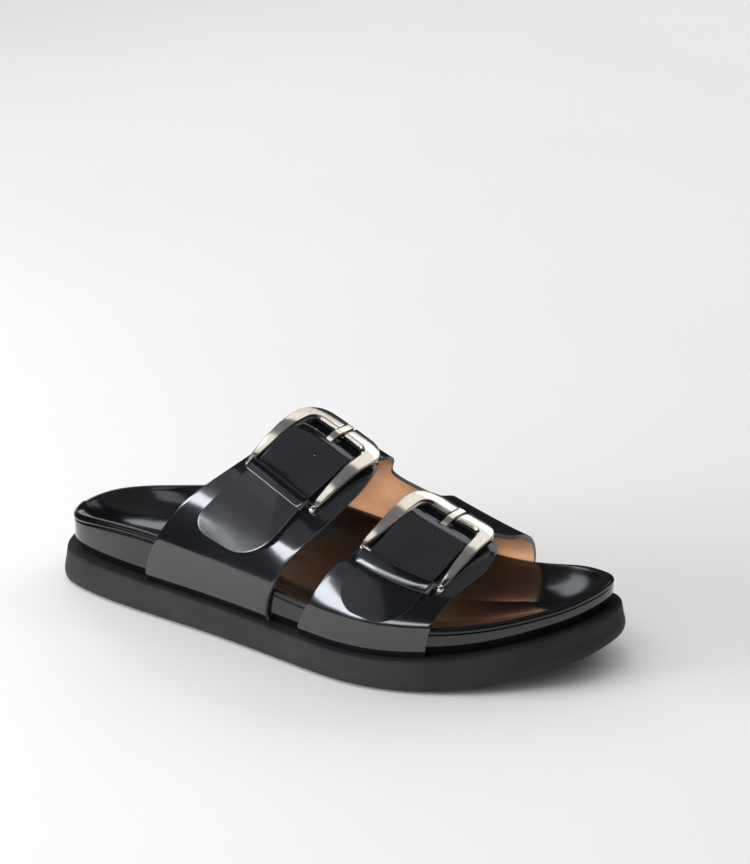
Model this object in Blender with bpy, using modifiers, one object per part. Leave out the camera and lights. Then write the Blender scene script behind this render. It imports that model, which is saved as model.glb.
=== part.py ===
"""Platform sandal for the right foot: moulded sole, wrapped footbed and two buckled straps.

The shape is worked out in millimetres. x runs from the heel (0) to the toe (LENGTH), y is
lateral below zero and medial above it, and z is the height over the floor. The meshes are
made in metres, with the origin on the floor under the middle of the sole.
"""

from collections import namedtuple

import bmesh
import bpy
import numpy as np

MM = 0.001
OBJECT_NAME = "platform_sandal"

# Driving sizes in millimetres
LENGTH = 265.0
SEAT_GAP = 0.3
STRAP_THICKNESS = 1.8
INSOLE_THICKNESS = 1.9
WALL_INSET = 4.9
WALL_GAP = 0.45
STRAP_FOOT_GAP = 0.4
ARCH_START = 1.5
TOE_SPRING = 13.7
TOE_SPRING_START = 0.7045
TOE_TIP_Y = 8.8
HEEL_TIP_Y = 4.5

# Outline of the sole from above: share of the length, then the half widths
Outline = namedtuple("Outline", "along lateral medial")
OUTLINE = (
    Outline(0.020, 12.9, 22.2),
    Outline(0.070, 21.6, 33.1),
    Outline(0.160, 28.6, 38.0),
    Outline(0.280, 34.6, 37.2),
    Outline(0.400, 41.0, 36.7),
    Outline(0.520, 48.9, 39.4),
    Outline(0.640, 54.3, 44.0),
    Outline(0.750, 49.3, 43.1),
    Outline(0.840, 39.1, 37.2),
    Outline(0.910, 27.4, 32.7),
    Outline(0.965, 14.6, 23.4),
)

# Heights along the sole: top of the outsole's ledge, then the floor of the footbed
Level = namedtuple("Level", "along ledge floor")
LEVELS = (
    Level(0.00, 15.9, 24.5),
    Level(0.15, 15.1, 24.0),
    Level(0.30, 14.4, 25.5),
    Level(0.45, 13.7, 25.5),
    Level(0.60, 13.3, 22.0),
    Level(0.72, 14.3, 21.5),
    Level(0.82, 16.8, 24.0),
    Level(0.91, 21.9, 28.0),
    Level(1.00, 28.2, 33.5),
)

# Heights of the footbed's rim on its two sides
Rim = namedtuple("Rim", "along lateral medial")
RIMS = (
    Rim(0.00, 31.0, 31.0),
    Rim(0.15, 37.2, 34.6),
    Rim(0.40, 32.5, 42.6),
    Rim(0.70, 27.5, 26.1),
    Rim(0.88, 32.0, 30.8),
    Rim(1.00, 40.2, 40.2),
)

# Side of the outsole: offset from the outline, and share of the way up to the ledge
SOLE_FLARE = 1.0
Side = namedtuple("Side", "offset share")
SIDES = (
    Side(-3.2, 0.0),
    Side(-0.4, 0.07),
    Side(SOLE_FLARE, 0.27),
    Side(-0.1, 0.62),
    Side(-1.5, 0.95),
    Side(-2.3, 1.0),
)

# Rolled edge of the insole: distance inside the wall, and how far under the rim
LIP_SEAM = 2.6
Lip = namedtuple("Lip", "inset drop")
LIP = (
    Lip(-0.15, LIP_SEAM),
    Lip(-0.15, 1.2),
    Lip(0.45, 0.3),
    Lip(1.4, 0.0),
)
LIP_INNER = 2.8
LIP_DROP = 0.3

# Hollow of the footbed: how steeply it rises to the rim, and its rings from the rim inwards
DISH_POWER = 3.0
DISH_SHARES = (0.9, 0.77, 0.6, 0.35, 0.0)
SPINE_SHRINK = 0.72

# Crest of the last over the instep: height, and how far it lies to the medial side
Crest = namedtuple("Crest", "along height y")
CRESTS = (
    Crest(0.10, 100.0, 10.0),
    Crest(0.30, 97.0, 10.0),
    Crest(0.45, 88.5, 8.0),
    Crest(0.60, 72.5, 5.0),
    Crest(0.70, 60.0, 3.5),
    Crest(0.82, 49.0, 0.0),
    Crest(0.95, 42.0, -3.0),
)

# Way round the last: 0 at the lateral foot of the wall, 1 at the medial one
LATERAL_RIM, TOP, MEDIAL_RIM = 0.12, 0.52, 0.88

# Cut edges of the straps: way round the last, then x of the rear and of the front edge
Edge = namedtuple("Edge", "around rear front")
REAR_LATERAL = (
    Edge(0.00, 55.5, 121.5),
    Edge(0.08, 60.0, 123.5),
    Edge(0.15, 68.2, 128.5),
    Edge(0.21, 78.4, 136.0),
    Edge(0.27, 90.9, 144.0),
    Edge(0.35, 105.3, 151.6),
    Edge(0.43, 113.5, 155.6),
    Edge(0.52, 118.0, 155.4),
)
FRONT_LATERAL = (
    Edge(0.00, 138.0, 196.0),
    Edge(0.09, 142.4, 197.3),
    Edge(0.16, 148.4, 200.2),
    Edge(0.21, 153.5, 203.2),
    Edge(0.28, 162.8, 208.2),
    Edge(0.35, 170.2, 212.8),
    Edge(0.43, 175.0, 214.2),
    Edge(0.52, 177.5, 213.6),
)
REAR_MEDIAL = (
    Edge(0.15, 83.0, 117.0),
    Edge(0.20, 90.0, 122.5),
    Edge(0.26, 100.0, 130.0),
    Edge(0.32, 109.8, 136.4),
    Edge(0.42, 118.4, 144.2),
    Edge(0.47, 122.0, 147.4),
    Edge(0.52, 122.2, 153.6),
    Edge(0.56, 120.6, 156.0),
    Edge(0.64, 116.3, 155.0),
    Edge(0.72, 107.8, 151.4),
    Edge(0.81, 95.7, 150.0),
    Edge(0.90, 84.5, 150.0),
    Edge(1.00, 77.0, 150.0),
)
FRONT_MEDIAL = (
    Edge(0.13, 155.6, 187.4),
    Edge(0.18, 158.6, 189.4),
    Edge(0.23, 163.8, 191.8),
    Edge(0.29, 169.4, 196.2),
    Edge(0.40, 175.8, 202.2),
    Edge(0.45, 178.0, 205.0),
    Edge(0.50, 180.0, 209.6),
    Edge(0.55, 182.0, 214.0),
    Edge(0.63, 183.4, 217.2),
    Edge(0.72, 182.6, 217.6),
    Edge(0.82, 182.6, 217.4),
    Edge(0.92, 182.6, 216.6),
    Edge(1.00, 182.6, 215.6),
)

# Notch between the two straps of the medial piece
NOTCH_X = 166.5
NOTCH_BOTTOM = 0.742
NOTCH_REAR_START = 0.715
NOTCH_FRONT_START = 0.68
NOTCH_ROUNDNESS = 2.6
NOTCH_TOP = 0.66
NOTCH_ROWS = (1.0, 0.75, 0.5, 0.3, 0.15, 0.06, 0.015, 0.0)

# Buckled part of a strap, measured along it from the buckle's bar towards the medial side
Buckled = namedtuple(
    "Buckled",
    "name lateral medial bar tail lateral_end bar_skew frame_skew keeper keeper_skew",
)
REAR = Buckled("rear", REAR_LATERAL, REAR_MEDIAL, 0.320, 35.0, 40.0, 0.12, 0.12, 0.2, 0.05)
FRONT = Buckled("front", FRONT_LATERAL, FRONT_MEDIAL, 0.272, 20.0, 38.5, 0.18, 0.03, -2.9, 0.0)
SKEW_END = 56.0
TAIL_CORNERS = (9.0, 14.0)
LATERAL_CORNER = 8.0
LATERAL_ROWS = 17

# Height of the medial strap's under side over the last, along the buckle
Lift = namedtuple("Lift", "along height")
STRAP_LIFTS = (
    Lift(-45.0, 2.2),
    Lift(-13.0, 2.2),
    Lift(-5.0, 3.7),
    Lift(0.0, 4.6),
    Lift(6.0, 5.1),
    Lift(15.0, 5.8),
    Lift(21.5, 6.0),
    Lift(25.5, 5.2),
    Lift(29.0, 2.9),
    Lift(31.5, 2.2),
    Lift(42.0, 2.2),
    Lift(46.5, 1.0),
    Lift(53.0, 0.0),
)
PRONG_SLOT = (21.5, 30.5)
SLOT_SHARE = 0.075

# Rows of the medial strap: near its tip, measured from it, and through the buckle, from the bar
TIP_ROWS = (0.0, 0.6, 2.4, 5.5, 10.0)
BUCKLED_ROWS = (-8.0, -4.0, 0.0, 6.0, 12.0, 17.0, 21.5, 24.0, 26.5, 28.5, 30.5, 36.0, 42.0, 46.0, 50.0, 56.0)

# Buckle frame: width across the strap, and one row for each place along an arm
FRAME_ARM = 17.6
FRAME_MEDIAL = 36.6
FRAME_CORNER = 7.6
BAR_CORNER = 2.2
Arm = namedtuple("Arm", "along half_width thickness lift")
ARMS = (
    Arm(-1.0, 1.1, 2.0, 2.1),
    Arm(4.0, 1.25, 2.6, 2.5),
    Arm(14.0, 1.9, 3.1, 3.1),
    Arm(24.0, 2.5, 3.5, 3.9),
    Arm(36.6, 2.9, 3.7, 4.6),
)
ARM_STATIONS = (7.0, 14.0, 21.0)
BAR_STATIONS = (-7.5, 0.0, 7.5)
BAR_HALF_WIDTH, BAR_THICKNESS = 1.0, 1.9
PRONG_NOTCH_DEPTH, PRONG_NOTCH_HALF, PRONG_NOTCH_SLOPE = 1.4, 2.1, 0.2

# Section of the frame: shares of its half width and of its thickness
Corner = namedtuple("Corner", "out up")
FRAME_SECTION = (
    Corner(-0.8, 0.0),
    Corner(0.8, 0.0),
    Corner(1.0, 0.25),
    Corner(1.0, 0.6),
    Corner(0.72, 1.0),
    Corner(-0.72, 1.0),
    Corner(-1.0, 0.7),
    Corner(-1.0, 0.25),
)

# Prong, from the bar to the medial side of the frame
PRONG_LIFTS = (
    Lift(1.8, 2.2),
    Lift(11.0, 2.8),
    Lift(20.5, 3.5),
    Lift(24.5, 5.2),
    Lift(29.0, 6.9),
    Lift(32.5, 7.25),
    Lift(38.4, 7.25),
)
PRONG_HALF_WIDTH, PRONG_THICKNESS = 1.5, 1.5

# Keeper: leather loop over the tail
KEEPER_WIDTH = 4.6
KEEPER_HALF = 14.9
KEEPER_GAP = 0.4
KEEPER_FOOT = 4.4
KEEPER_CORNER = 1.2
KEEPER_THICKNESS = 1.0

# Finish of each kind of material: linear colour, roughness and metallic share
Finish = namedtuple("Finish", "name colour roughness metallic")
RUBBER = Finish("rubber", (0.022, 0.022, 0.024), 0.62, 0.0)
LEATHER = Finish("leather", (0.006, 0.006, 0.007), 0.12, 0.0)
NICKEL = Finish("nickel", (0.72, 0.70, 0.66), 0.12, 1.0)

# How finely the shapes are cut
RING_POINTS = 72
DENSE_POINTS = 2880
MERGE = 0.00001
SHARP_ANGLE = 40.0


def spline(knots, values, at, closed=False):
    """Cubic spline through the values at the knots, smooth to its second derivative.

    An open spline ends with no bend and holds its end values outside the knots. A closed
    one comes back to its first value at its last knot with no break.
    """
    knots, values = np.asarray(knots, float), np.asarray(values, float)
    step = np.diff(knots)
    rise = np.diff(values, axis=0) / step.reshape((-1,) + (1,) * (values.ndim - 1))
    last = len(knots) - 1
    system, right = np.eye(len(knots)), np.zeros_like(values)
    for i in range(1, last):
        system[i, i - 1 : i + 2] = step[i - 1], 2 * (step[i - 1] + step[i]), step[i]
        right[i] = 6 * (rise[i] - rise[i - 1])
    if closed:
        system[0, 0], system[0, 1], system[0, last - 1] = 2 * (step[-1] + step[0]), step[0], step[-1]
        right[0] = 6 * (rise[0] - rise[-1])
        system[last, 0] = -1
    bend = np.linalg.solve(system, right)
    at = np.clip(at, knots[0], knots[-1])
    i = np.clip(np.searchsorted(knots, at, side="right") - 1, 0, last - 1)
    shape = np.shape(at) + (1,) * (values.ndim - 1)
    width = step[i].reshape(shape)
    b = ((at - knots[i]) / step[i]).reshape(shape)
    a = 1 - b
    curve = ((a**3 - a) * bend[i] + (b**3 - b) * bend[i + 1]) * width**2 / 6
    return a * values[i] + b * values[i + 1] + curve


def eased(table, name, at):
    """A column of a table, read along a cubic curve that never swings past its rows."""
    knots = np.array([row[0] for row in table])
    values = np.array([getattr(row, name) for row in table])
    step, rise = np.diff(knots), np.diff(values) / np.diff(knots)
    both, total = rise[1:] * rise[:-1], rise[1:] + rise[:-1]
    slope = np.zeros(len(knots))
    slope[1:-1] = np.where(both > 0, 2 * both / np.where(both > 0, total, 1.0), 0.0)
    at = np.clip(at, knots[0], knots[-1])
    i = np.clip(np.searchsorted(knots, at, side="right") - 1, 0, len(step) - 1)
    b = (at - knots[i]) / step[i]
    level = values[i] + (values[i + 1] - values[i]) * b**2 * (3 - 2 * b)
    return level + step[i] * b * (1 - b) * (slope[i] * (1 - b) - slope[i + 1] * b)


def column(table, name, at):
    """A column of a table, read along a spline through its rows."""
    return spline([row[0] for row in table], [getattr(row, name) for row in table], at)


def sole_outline():
    """Points and outward directions of the sole's outline from above, heel tip first, lateral side next."""
    lateral = [(row.along * LENGTH, -row.lateral) for row in OUTLINE]
    medial = [(row.along * LENGTH, row.medial) for row in OUTLINE]
    heel, toe = (0.0, HEEL_TIP_Y), (LENGTH, TOE_TIP_Y)
    corners = np.array([heel, *lateral, toe, *medial[::-1], heel])
    knots = np.concatenate([[0.0], np.cumsum(np.sqrt(np.hypot(*np.diff(corners, axis=0).T)))])
    at = np.linspace(0, knots[-1], DENSE_POINTS, endpoint=False)
    points = spline(knots, corners, at, closed=True)
    points = np.roll(points, -points[:, 0].argmin(), axis=0)
    along = np.roll(points, -1, axis=0) - np.roll(points, 1, axis=0)
    outward = np.stack([along[:, 1], -along[:, 0]], axis=1)
    return points, outward / np.linalg.norm(outward, axis=1)[:, None]


OUTLINE_POINTS, OUTLINE_OUTWARD = sole_outline()
TOE_INDEX = OUTLINE_POINTS[:, 0].argmax()


def paired_places():
    """Places on the outline for one ring: point k and point -k lie at the same x on the two sides."""
    turn = np.linspace(0, np.pi, RING_POINTS // 2 + 1)
    x = LENGTH / 2 * (1 - np.cos(turn))
    lateral = np.interp(x, OUTLINE_POINTS[: TOE_INDEX + 1, 0], np.arange(TOE_INDEX + 1))
    medial_x = np.append(OUTLINE_POINTS[TOE_INDEX:, 0], OUTLINE_POINTS[0, 0])[::-1]
    medial_place = np.arange(TOE_INDEX, DENSE_POINTS + 1)[::-1]
    medial = np.interp(x[1:-1], medial_x, medial_place)
    return np.concatenate([lateral, medial[::-1]]).round().astype(int) % DENSE_POINTS


RING_PLACES = paired_places()


def ring(offset):
    """One ring of points round the sole, moved outwards from its outline."""
    return OUTLINE_POINTS[RING_PLACES] + OUTLINE_OUTWARD[RING_PLACES] * offset


def wall_y(x, medial, offset):
    """y of the offset outline at x, on its medial or lateral side."""
    contour = OUTLINE_POINTS + OUTLINE_OUTWARD * offset
    if medial:
        side = np.append(contour[TOE_INDEX:], contour[:1], axis=0)[::-1]
    else:
        side = contour[: TOE_INDEX + 1]
    return np.interp(x, side[:, 0], side[:, 1])


def ledge(x):
    return column(LEVELS, "ledge", np.asarray(x) / LENGTH)


def sole_bottom(x):
    """Height of the tread: flat on the floor, then a parabola up to the toe."""
    start = TOE_SPRING_START * LENGTH
    return TOE_SPRING * (np.clip(x - start, 0, None) / (LENGTH - start)) ** 2


def rim(points):
    """Height of the footbed's rim at the ring points."""
    along = points[:, 0] / LENGTH
    half = RING_POINTS // 2
    on_lateral = np.arange(RING_POINTS) <= half
    return np.where(on_lateral, column(RIMS, "lateral", along), column(RIMS, "medial", along))


def spine():
    """Middle line of the footbed, which the rings close on: one point for each ring point."""
    x = ring(-WALL_INSET)[:, 0]
    paired = (x + np.roll(x[::-1], 1)) / 2
    x = LENGTH / 2 + (paired - LENGTH / 2) * SPINE_SHRINK
    y = (wall_y(x, True, -WALL_INSET) + wall_y(x, False, -WALL_INSET)) / 2
    return np.stack([x, y], axis=1)


def raised(points, height):
    return np.column_stack([points, np.broadcast_to(height, len(points))])


def closing_rings(edge, shares, height):
    """Rings from an edge ring inwards to the spine, with the height given by a function of x."""
    middle = spine()
    rings = []
    for share in shares:
        flat = middle + (edge - middle) * share
        rings.append(raised(flat, height(flat[:, 0])))
    return rings


def dish_rings(inset, shares, lowered):
    """Rings of the footbed's hollow, from the rim inwards, lowered by a layer's thickness.

    The height rises from the floor at the spine to the rim as a power of the share.
    """
    edge, middle = ring(-WALL_INSET - inset), spine()
    floor = column(LEVELS, "floor", middle[:, 0] / LENGTH)
    top = rim(edge)
    rings = []
    for share in shares:
        flat = middle + (edge - middle) * share
        rings.append(raised(flat, floor + (top - LIP_DROP - floor) * share**DISH_POWER - lowered))
    return rings


def last_point(x, around):
    """Point of the last: up the wall, then a quarter ellipse on each side of the instep's crest."""
    x, around = np.broadcast_arrays(np.asarray(x, float), np.asarray(around, float))
    along = x / LENGTH
    lateral = around < TOP
    side_y = np.where(
        lateral,
        wall_y(x, False, WALL_GAP - WALL_INSET),
        wall_y(x, True, WALL_GAP - WALL_INSET),
    )
    rim_height = np.where(lateral, column(RIMS, "lateral", along), column(RIMS, "medial", along))
    rim_height = rim_height + ARCH_START
    foot = ledge(x) + STRAP_FOOT_GAP
    crest, crest_y = column(CRESTS, "height", along), column(CRESTS, "y", along)
    up_wall = np.where(lateral, around / LATERAL_RIM, (1 - around) / (1 - MEDIAL_RIM))
    lateral_turn = (around - LATERAL_RIM) / (TOP - LATERAL_RIM)
    medial_turn = (MEDIAL_RIM - around) / (MEDIAL_RIM - TOP)
    turn = np.clip(np.where(lateral, lateral_turn, medial_turn), 0, 1) * np.pi / 2
    y = crest_y + (side_y - crest_y) * np.cos(turn)
    over = rim_height + (crest - rim_height) * np.sin(turn)
    z = np.where(up_wall < 1, foot + (rim_height - foot) * up_wall, over)
    return np.stack([x, y, z], axis=-1)


def lifted(x, around, lift):
    """Point over the last by a height along its outward direction."""
    step_x, step_around = 0.25, 0.001
    along = last_point(x + step_x, around) - last_point(x - step_x, around)
    across = last_point(x, around + step_around) - last_point(x, around - step_around)
    outward = np.cross(along, across)
    outward /= np.linalg.norm(outward, axis=-1)[..., None]
    return last_point(x, around) + outward * np.asarray(lift)[..., None]


def strap_edges(table, around):
    return column(table, "rear", around), column(table, "front", around)


def strap_ruler(strap):
    """Ways round the last along a strap's middle line, and their distances from the buckle's bar."""
    around = np.linspace(0.02, MEDIAL_RIM, 400)
    rear, front = strap_edges(strap.medial, around)
    middle = last_point((rear + front) / 2, around)
    length = np.concatenate([[0.0], np.cumsum(np.linalg.norm(np.diff(middle, axis=0), axis=1))])
    return around, length - np.interp(strap.bar, around, length)


def along_strap(strap, along):
    """Way round the last at a distance along the strap from the buckle's bar."""
    around, length = strap_ruler(strap)
    return np.interp(along, length, around)


def skewed(strap, across, along):
    """Way round the last at a place on the strap: the buckle sits a little turned on the foot."""
    skew = np.interp(along, (0.0, FRAME_MEDIAL, SKEW_END), (strap.bar_skew, strap.frame_skew, 0.0))
    return along_strap(strap, along - skew * across)


def reach_across(x, around):
    """Length over the last of one millimetre of x."""
    return np.linalg.norm(last_point(x + 1, around) - last_point(x - 1, around), axis=-1) / 2


def on_strap(strap, across, along, lift):
    """Point at a distance across and along a strap from the middle of its bar, over the last."""
    across, along, lift = np.broadcast_arrays(*(np.asarray(v, float) for v in (across, along, lift)))
    around = along_strap(strap, along)
    rear, front = strap_edges(strap.medial, around)
    middle = (rear + front) / 2
    x = middle + across / reach_across(middle, around)
    return lifted(x, skewed(strap, across, along), lift)


def corner_inset(distance, radius):
    """How far a rounded corner draws an edge in, at a distance from the strap's end."""
    short = radius - np.clip(distance, 0, radius)
    return radius - np.sqrt(radius**2 - short**2)


def shared(rear, front, shares):
    """Rows of x between two edges, at shares of the way across."""
    return rear[:, None] + (front - rear)[:, None] * np.asarray(shares)[None, :]


def new_collection(name):
    collection = bpy.data.collections.new(name)
    bpy.context.scene.collection.children.link(collection)
    return collection


def new_material(part_name, finish):
    material = bpy.data.materials.new(f"{part_name}_{finish.name}")
    material.use_nodes = True
    shader = material.node_tree.nodes["Principled BSDF"]
    shader.inputs["Base Color"].default_value = (*finish.colour, 1.0)
    shader.inputs["Roughness"].default_value = finish.roughness
    shader.inputs["Metallic"].default_value = finish.metallic
    return material


def grid_faces(rows, columns, first=0, closed=False, skipped=()):
    """Quads between the points of a grid, one row after another."""
    faces = []
    for r in range(rows - 1):
        for c in range(columns if closed else columns - 1):
            if (r, c) in skipped:
                continue
            after = (c + 1) % columns
            low, high = first + r * columns, first + (r + 1) * columns
            faces.append((low + c, low + after, high + after, high + c))
    return faces


def new_part(name, points, faces, finish, collection):
    """A mesh object from points in millimetres, with its doubled points joined."""
    mesh = bpy.data.meshes.new(name)
    placed = (np.asarray(points) - ORIGIN) * MM
    mesh.from_pydata(placed.tolist(), [], faces)
    joined = bmesh.new()
    joined.from_mesh(mesh)
    bmesh.ops.remove_doubles(joined, verts=joined.verts, dist=MERGE)
    joined.to_mesh(mesh)
    joined.free()
    mesh.materials.append(new_material(name, finish))
    mesh.shade_smooth()
    mesh.set_sharp_from_angle(angle=np.radians(SHARP_ANGLE))
    part = bpy.data.objects.new(name, mesh)
    collection.objects.link(part)
    return part


def loft(name, rings, finish, collection):
    """Closed solid through rings of points, whose first and last ring close on a line or a face."""
    faces = grid_faces(len(rings), len(rings[0]), closed=True)
    return new_part(name, np.concatenate(rings), faces, finish, collection)


def thicken(part, thickness):
    """Gives an open sheet its real thickness, on the side that its faces point to."""
    wall = part.modifiers.new("wall", "SOLIDIFY")
    wall.thickness = thickness * MM
    wall.offset = 1.0
    wall.use_even_offset = True
    return part


def outsole(finish, collection):
    """Moulded sole: tread, rounded lower edge, flared side and the ledge round the footbed."""
    rings = closing_rings(ring(SIDES[0].offset), (0.0, 0.5), sole_bottom)
    for side in SIDES:
        flat = ring(side.offset)
        low, high = sole_bottom(flat[:, 0]), ledge(flat[:, 0])
        rings.append(raised(flat, low + (high - low) * side.share))
    rings += closing_rings(ring(SIDES[-1].offset), (0.5, 0.0), ledge)
    return loft("outsole", rings, finish, collection)


def footbed(finish, collection):
    """Wrapped core between the outsole's ledge and the insole, with the hollow of the foot on top."""
    wall = ring(-WALL_INSET)

    def seat(x):
        return ledge(x) + SEAT_GAP

    seam = LIP_SEAM + SEAT_GAP
    inner = ring(-WALL_INSET - LIP_INNER)
    rings = closing_rings(wall, (0.0, 0.5, 1.0), seat)
    rings.append(raised(wall, rim(wall) - seam))
    rings.append(raised(inner, rim(inner) - seam))
    rings += dish_rings(LIP_INNER, DISH_SHARES, INSOLE_THICKNESS + SEAT_GAP)
    return loft("footbed", rings, finish, collection)


def insole(finish, collection):
    """Glossy top cover: a hollow shell whose edge rolls over the rim of the footbed."""
    inner = ring(-WALL_INSET - LIP_INNER)
    rings = dish_rings(LIP_INNER, DISH_SHARES[::-1], INSOLE_THICKNESS)
    rings.append(raised(inner, rim(inner) - LIP_SEAM))
    for row in LIP:
        flat = ring(-WALL_INSET - row.inset)
        rings.append(raised(flat, rim(flat) - row.drop))
    rings.append(raised(inner, rim(inner) - LIP_DROP))
    rings += dish_rings(LIP_INNER, DISH_SHARES, 0.0)
    return loft("insole", rings, finish, collection)


def lateral_strap(strap, finish, collection):
    """Strap from the lateral side of the sole to its rounded end under the buckle."""
    round_end = strap.lateral_end - LATERAL_CORNER * np.array([1.0, 0.6, 0.3, 0.1, 0.0])
    around = np.concatenate([
        np.linspace(0, LATERAL_RIM, 4),
        np.linspace(LATERAL_RIM, along_strap(strap, round_end[0]), LATERAL_ROWS)[1:-1],
        along_strap(strap, round_end),
    ])
    rear, front = strap_edges(strap.lateral, around)
    ways, lengths = strap_ruler(strap)
    inset = corner_inset(strap.lateral_end - np.interp(around, ways, lengths), LATERAL_CORNER)
    x = shared(rear + inset, front - inset, np.linspace(0, 1, 7))
    points = lifted(x, np.broadcast_to(around[:, None], x.shape), 0.0)
    faces = grid_faces(*x.shape)
    sheet = new_part(f"strap_{strap.name}_lateral", points.reshape(-1, 3), faces, finish, collection)
    return thicken(sheet, STRAP_THICKNESS)


def notch_edges(around):
    """x of the notch's two sides: straight up the straps, and round into each other at its bottom."""
    rear_depth = np.clip((around - NOTCH_REAR_START) / (NOTCH_BOTTOM - NOTCH_REAR_START), 0, 1)
    front_depth = np.clip((around - NOTCH_FRONT_START) / (NOTCH_BOTTOM - NOTCH_FRONT_START), 0, 1)
    rear_side = column(REAR_MEDIAL, "front", np.minimum(around, NOTCH_REAR_START))
    front_side = column(FRONT_MEDIAL, "rear", np.minimum(around, NOTCH_FRONT_START))
    rear = NOTCH_X + (rear_side - NOTCH_X) * (1 - rear_depth**NOTCH_ROUNDNESS) ** (1 / NOTCH_ROUNDNESS)
    front = NOTCH_X + (front_side - NOTCH_X) * np.sqrt(1 - front_depth**2)
    return rear, front


def medial_rows(strap):
    """Rows of one half of the medial piece, from the tail's tip to the medial side of the sole."""
    along = np.concatenate([np.array(TIP_ROWS) - strap.tail, BUCKLED_ROWS])
    first = along_strap(strap, along[-1])
    notch = NOTCH_BOTTOM - (NOTCH_BOTTOM - NOTCH_TOP) * np.array(NOTCH_ROWS)
    between = np.linspace(first, notch[0], 4)[1:-1]
    wall = np.linspace(NOTCH_BOTTOM, MEDIAL_RIM, 5)[1:]
    foot = np.linspace(MEDIAL_RIM, 1.0, 4)[1:]
    around = np.concatenate([along_strap(strap, along), between, notch, wall, foot])
    return around, len(along), along


def medial_half(strap, rear_half):
    """Grid of one strap of the medial piece, with the lift that takes it through its buckle."""
    around, buckled, along = medial_rows(strap)
    rear, front = strap_edges(strap.medial, around)
    notch_rear, notch_front = notch_edges(around)
    beyond = np.arange(len(around)) >= buckled
    if rear_half:
        front = np.where(beyond, notch_rear, front)
    else:
        rear = np.where(beyond, notch_front, rear)
    ways, lengths = strap_ruler(strap)
    place = np.interp(around, ways, lengths)
    rear_inset, front_inset = (corner_inset(place + strap.tail, radius) for radius in TAIL_CORNERS)
    shares = (0.0, 0.2, 0.36, 0.5 - SLOT_SHARE, 0.5 + SLOT_SHARE, 0.64, 0.8, 1.0)
    x = shared(rear + rear_inset, front - front_inset, shares)
    middle = ((rear + front) / 2)[:, None]
    across = (x - middle) * reach_across(middle, around[:, None])
    turned = skewed(strap, across, np.broadcast_to(place[:, None], x.shape))
    ways = np.where(beyond[:, None], around[:, None], turned)
    lift = np.where(beyond, 0.0, eased(STRAP_LIFTS, "height", place))
    points = lifted(x, ways, np.broadcast_to(lift[:, None], x.shape))
    slot_rows = [i for i, v in enumerate(along) if PRONG_SLOT[0] <= v < PRONG_SLOT[1]]
    skipped = {(row, shares.index(0.5 - SLOT_SHARE)) for row in slot_rows}
    return points.reshape(-1, 3), x.shape, skipped


def medial_upper(finish, collection):
    """Medial piece: one wall from the sole that splits at a notch into two straps with tails."""
    rear_points, rear_shape, rear_skipped = medial_half(REAR, True)
    front_points, front_shape, front_skipped = medial_half(FRONT, False)
    faces = grid_faces(*rear_shape, skipped=rear_skipped)
    faces += grid_faces(*front_shape, first=len(rear_points), skipped=front_skipped)
    points = np.concatenate([rear_points, front_points])
    return thicken(new_part("upper_medial", points, faces, finish, collection), STRAP_THICKNESS)


def frame_path():
    """Plan of a buckle: a closed loop of (across, along, outward across, outward along) rows."""
    corner = FRAME_CORNER
    loop = []
    centres = (
        (FRAME_ARM - corner, FRAME_MEDIAL - corner, corner, 0.0, 6),
        (corner - FRAME_ARM, FRAME_MEDIAL - corner, corner, 90.0, 6),
        (BAR_CORNER - FRAME_ARM, BAR_CORNER, BAR_CORNER, 180.0, 4),
        (FRAME_ARM - BAR_CORNER, BAR_CORNER, BAR_CORNER, 270.0, 4),
    )
    for across, along, radius, start, steps in centres:
        for turn in np.radians(np.linspace(start, start + 90, steps)):
            way = np.cos(turn), np.sin(turn)
            loop.append((across + radius * way[0], along + radius * way[1], *way))
        if start == 0.0:
            low, high = PRONG_NOTCH_HALF - PRONG_NOTCH_SLOPE, PRONG_NOTCH_HALF + PRONG_NOTCH_SLOPE
            loop += [(place, FRAME_MEDIAL, 0.0, 1.0) for place in (high, low, -low, -high)]
        if start == 90.0:
            loop += [(-FRAME_ARM, place, -1.0, 0.0) for place in ARM_STATIONS[::-1]]
        if start == 180.0:
            loop += [(place, 0.0, 0.0, -1.0) for place in BAR_STATIONS]
        if start == 270.0:
            loop += [(FRAME_ARM, place, 1.0, 0.0) for place in ARM_STATIONS]
    return np.array(loop)


def buckle(strap, finish, collection):
    """Cast frame with its bar: one closed loop whose section widens from the bar to the medial side."""
    path = frame_path()
    across, along, out_across, out_along = path.T
    half = eased(ARMS, "half_width", along)
    thick = eased(ARMS, "thickness", along)
    low = eased(ARMS, "lift", along)
    on_bar = (along < BAR_CORNER) & (np.abs(across) < FRAME_ARM - BAR_CORNER + 0.01)
    half = np.where(on_bar, BAR_HALF_WIDTH, half)
    thick = np.where(on_bar, BAR_THICKNESS, thick)
    in_notch = (along > FRAME_MEDIAL - 0.01) & (np.abs(across) < PRONG_NOTCH_HALF)
    thick = np.where(in_notch, thick - PRONG_NOTCH_DEPTH, thick)
    points = np.stack([
        on_strap(
            strap,
            across + out_across * half * corner.out,
            along + out_along * half * corner.out,
            low + thick * corner.up,
        )
        for corner in FRAME_SECTION
    ])
    count = len(path)
    faces = grid_faces(len(FRAME_SECTION), count, closed=True)
    last_row = (len(FRAME_SECTION) - 1) * count
    for c in range(count):
        after = (c + 1) % count
        faces.append((last_row + c, last_row + after, after, c))
    return new_part(f"buckle_{strap.name}", points.reshape(-1, 3), faces, finish, collection)


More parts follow.
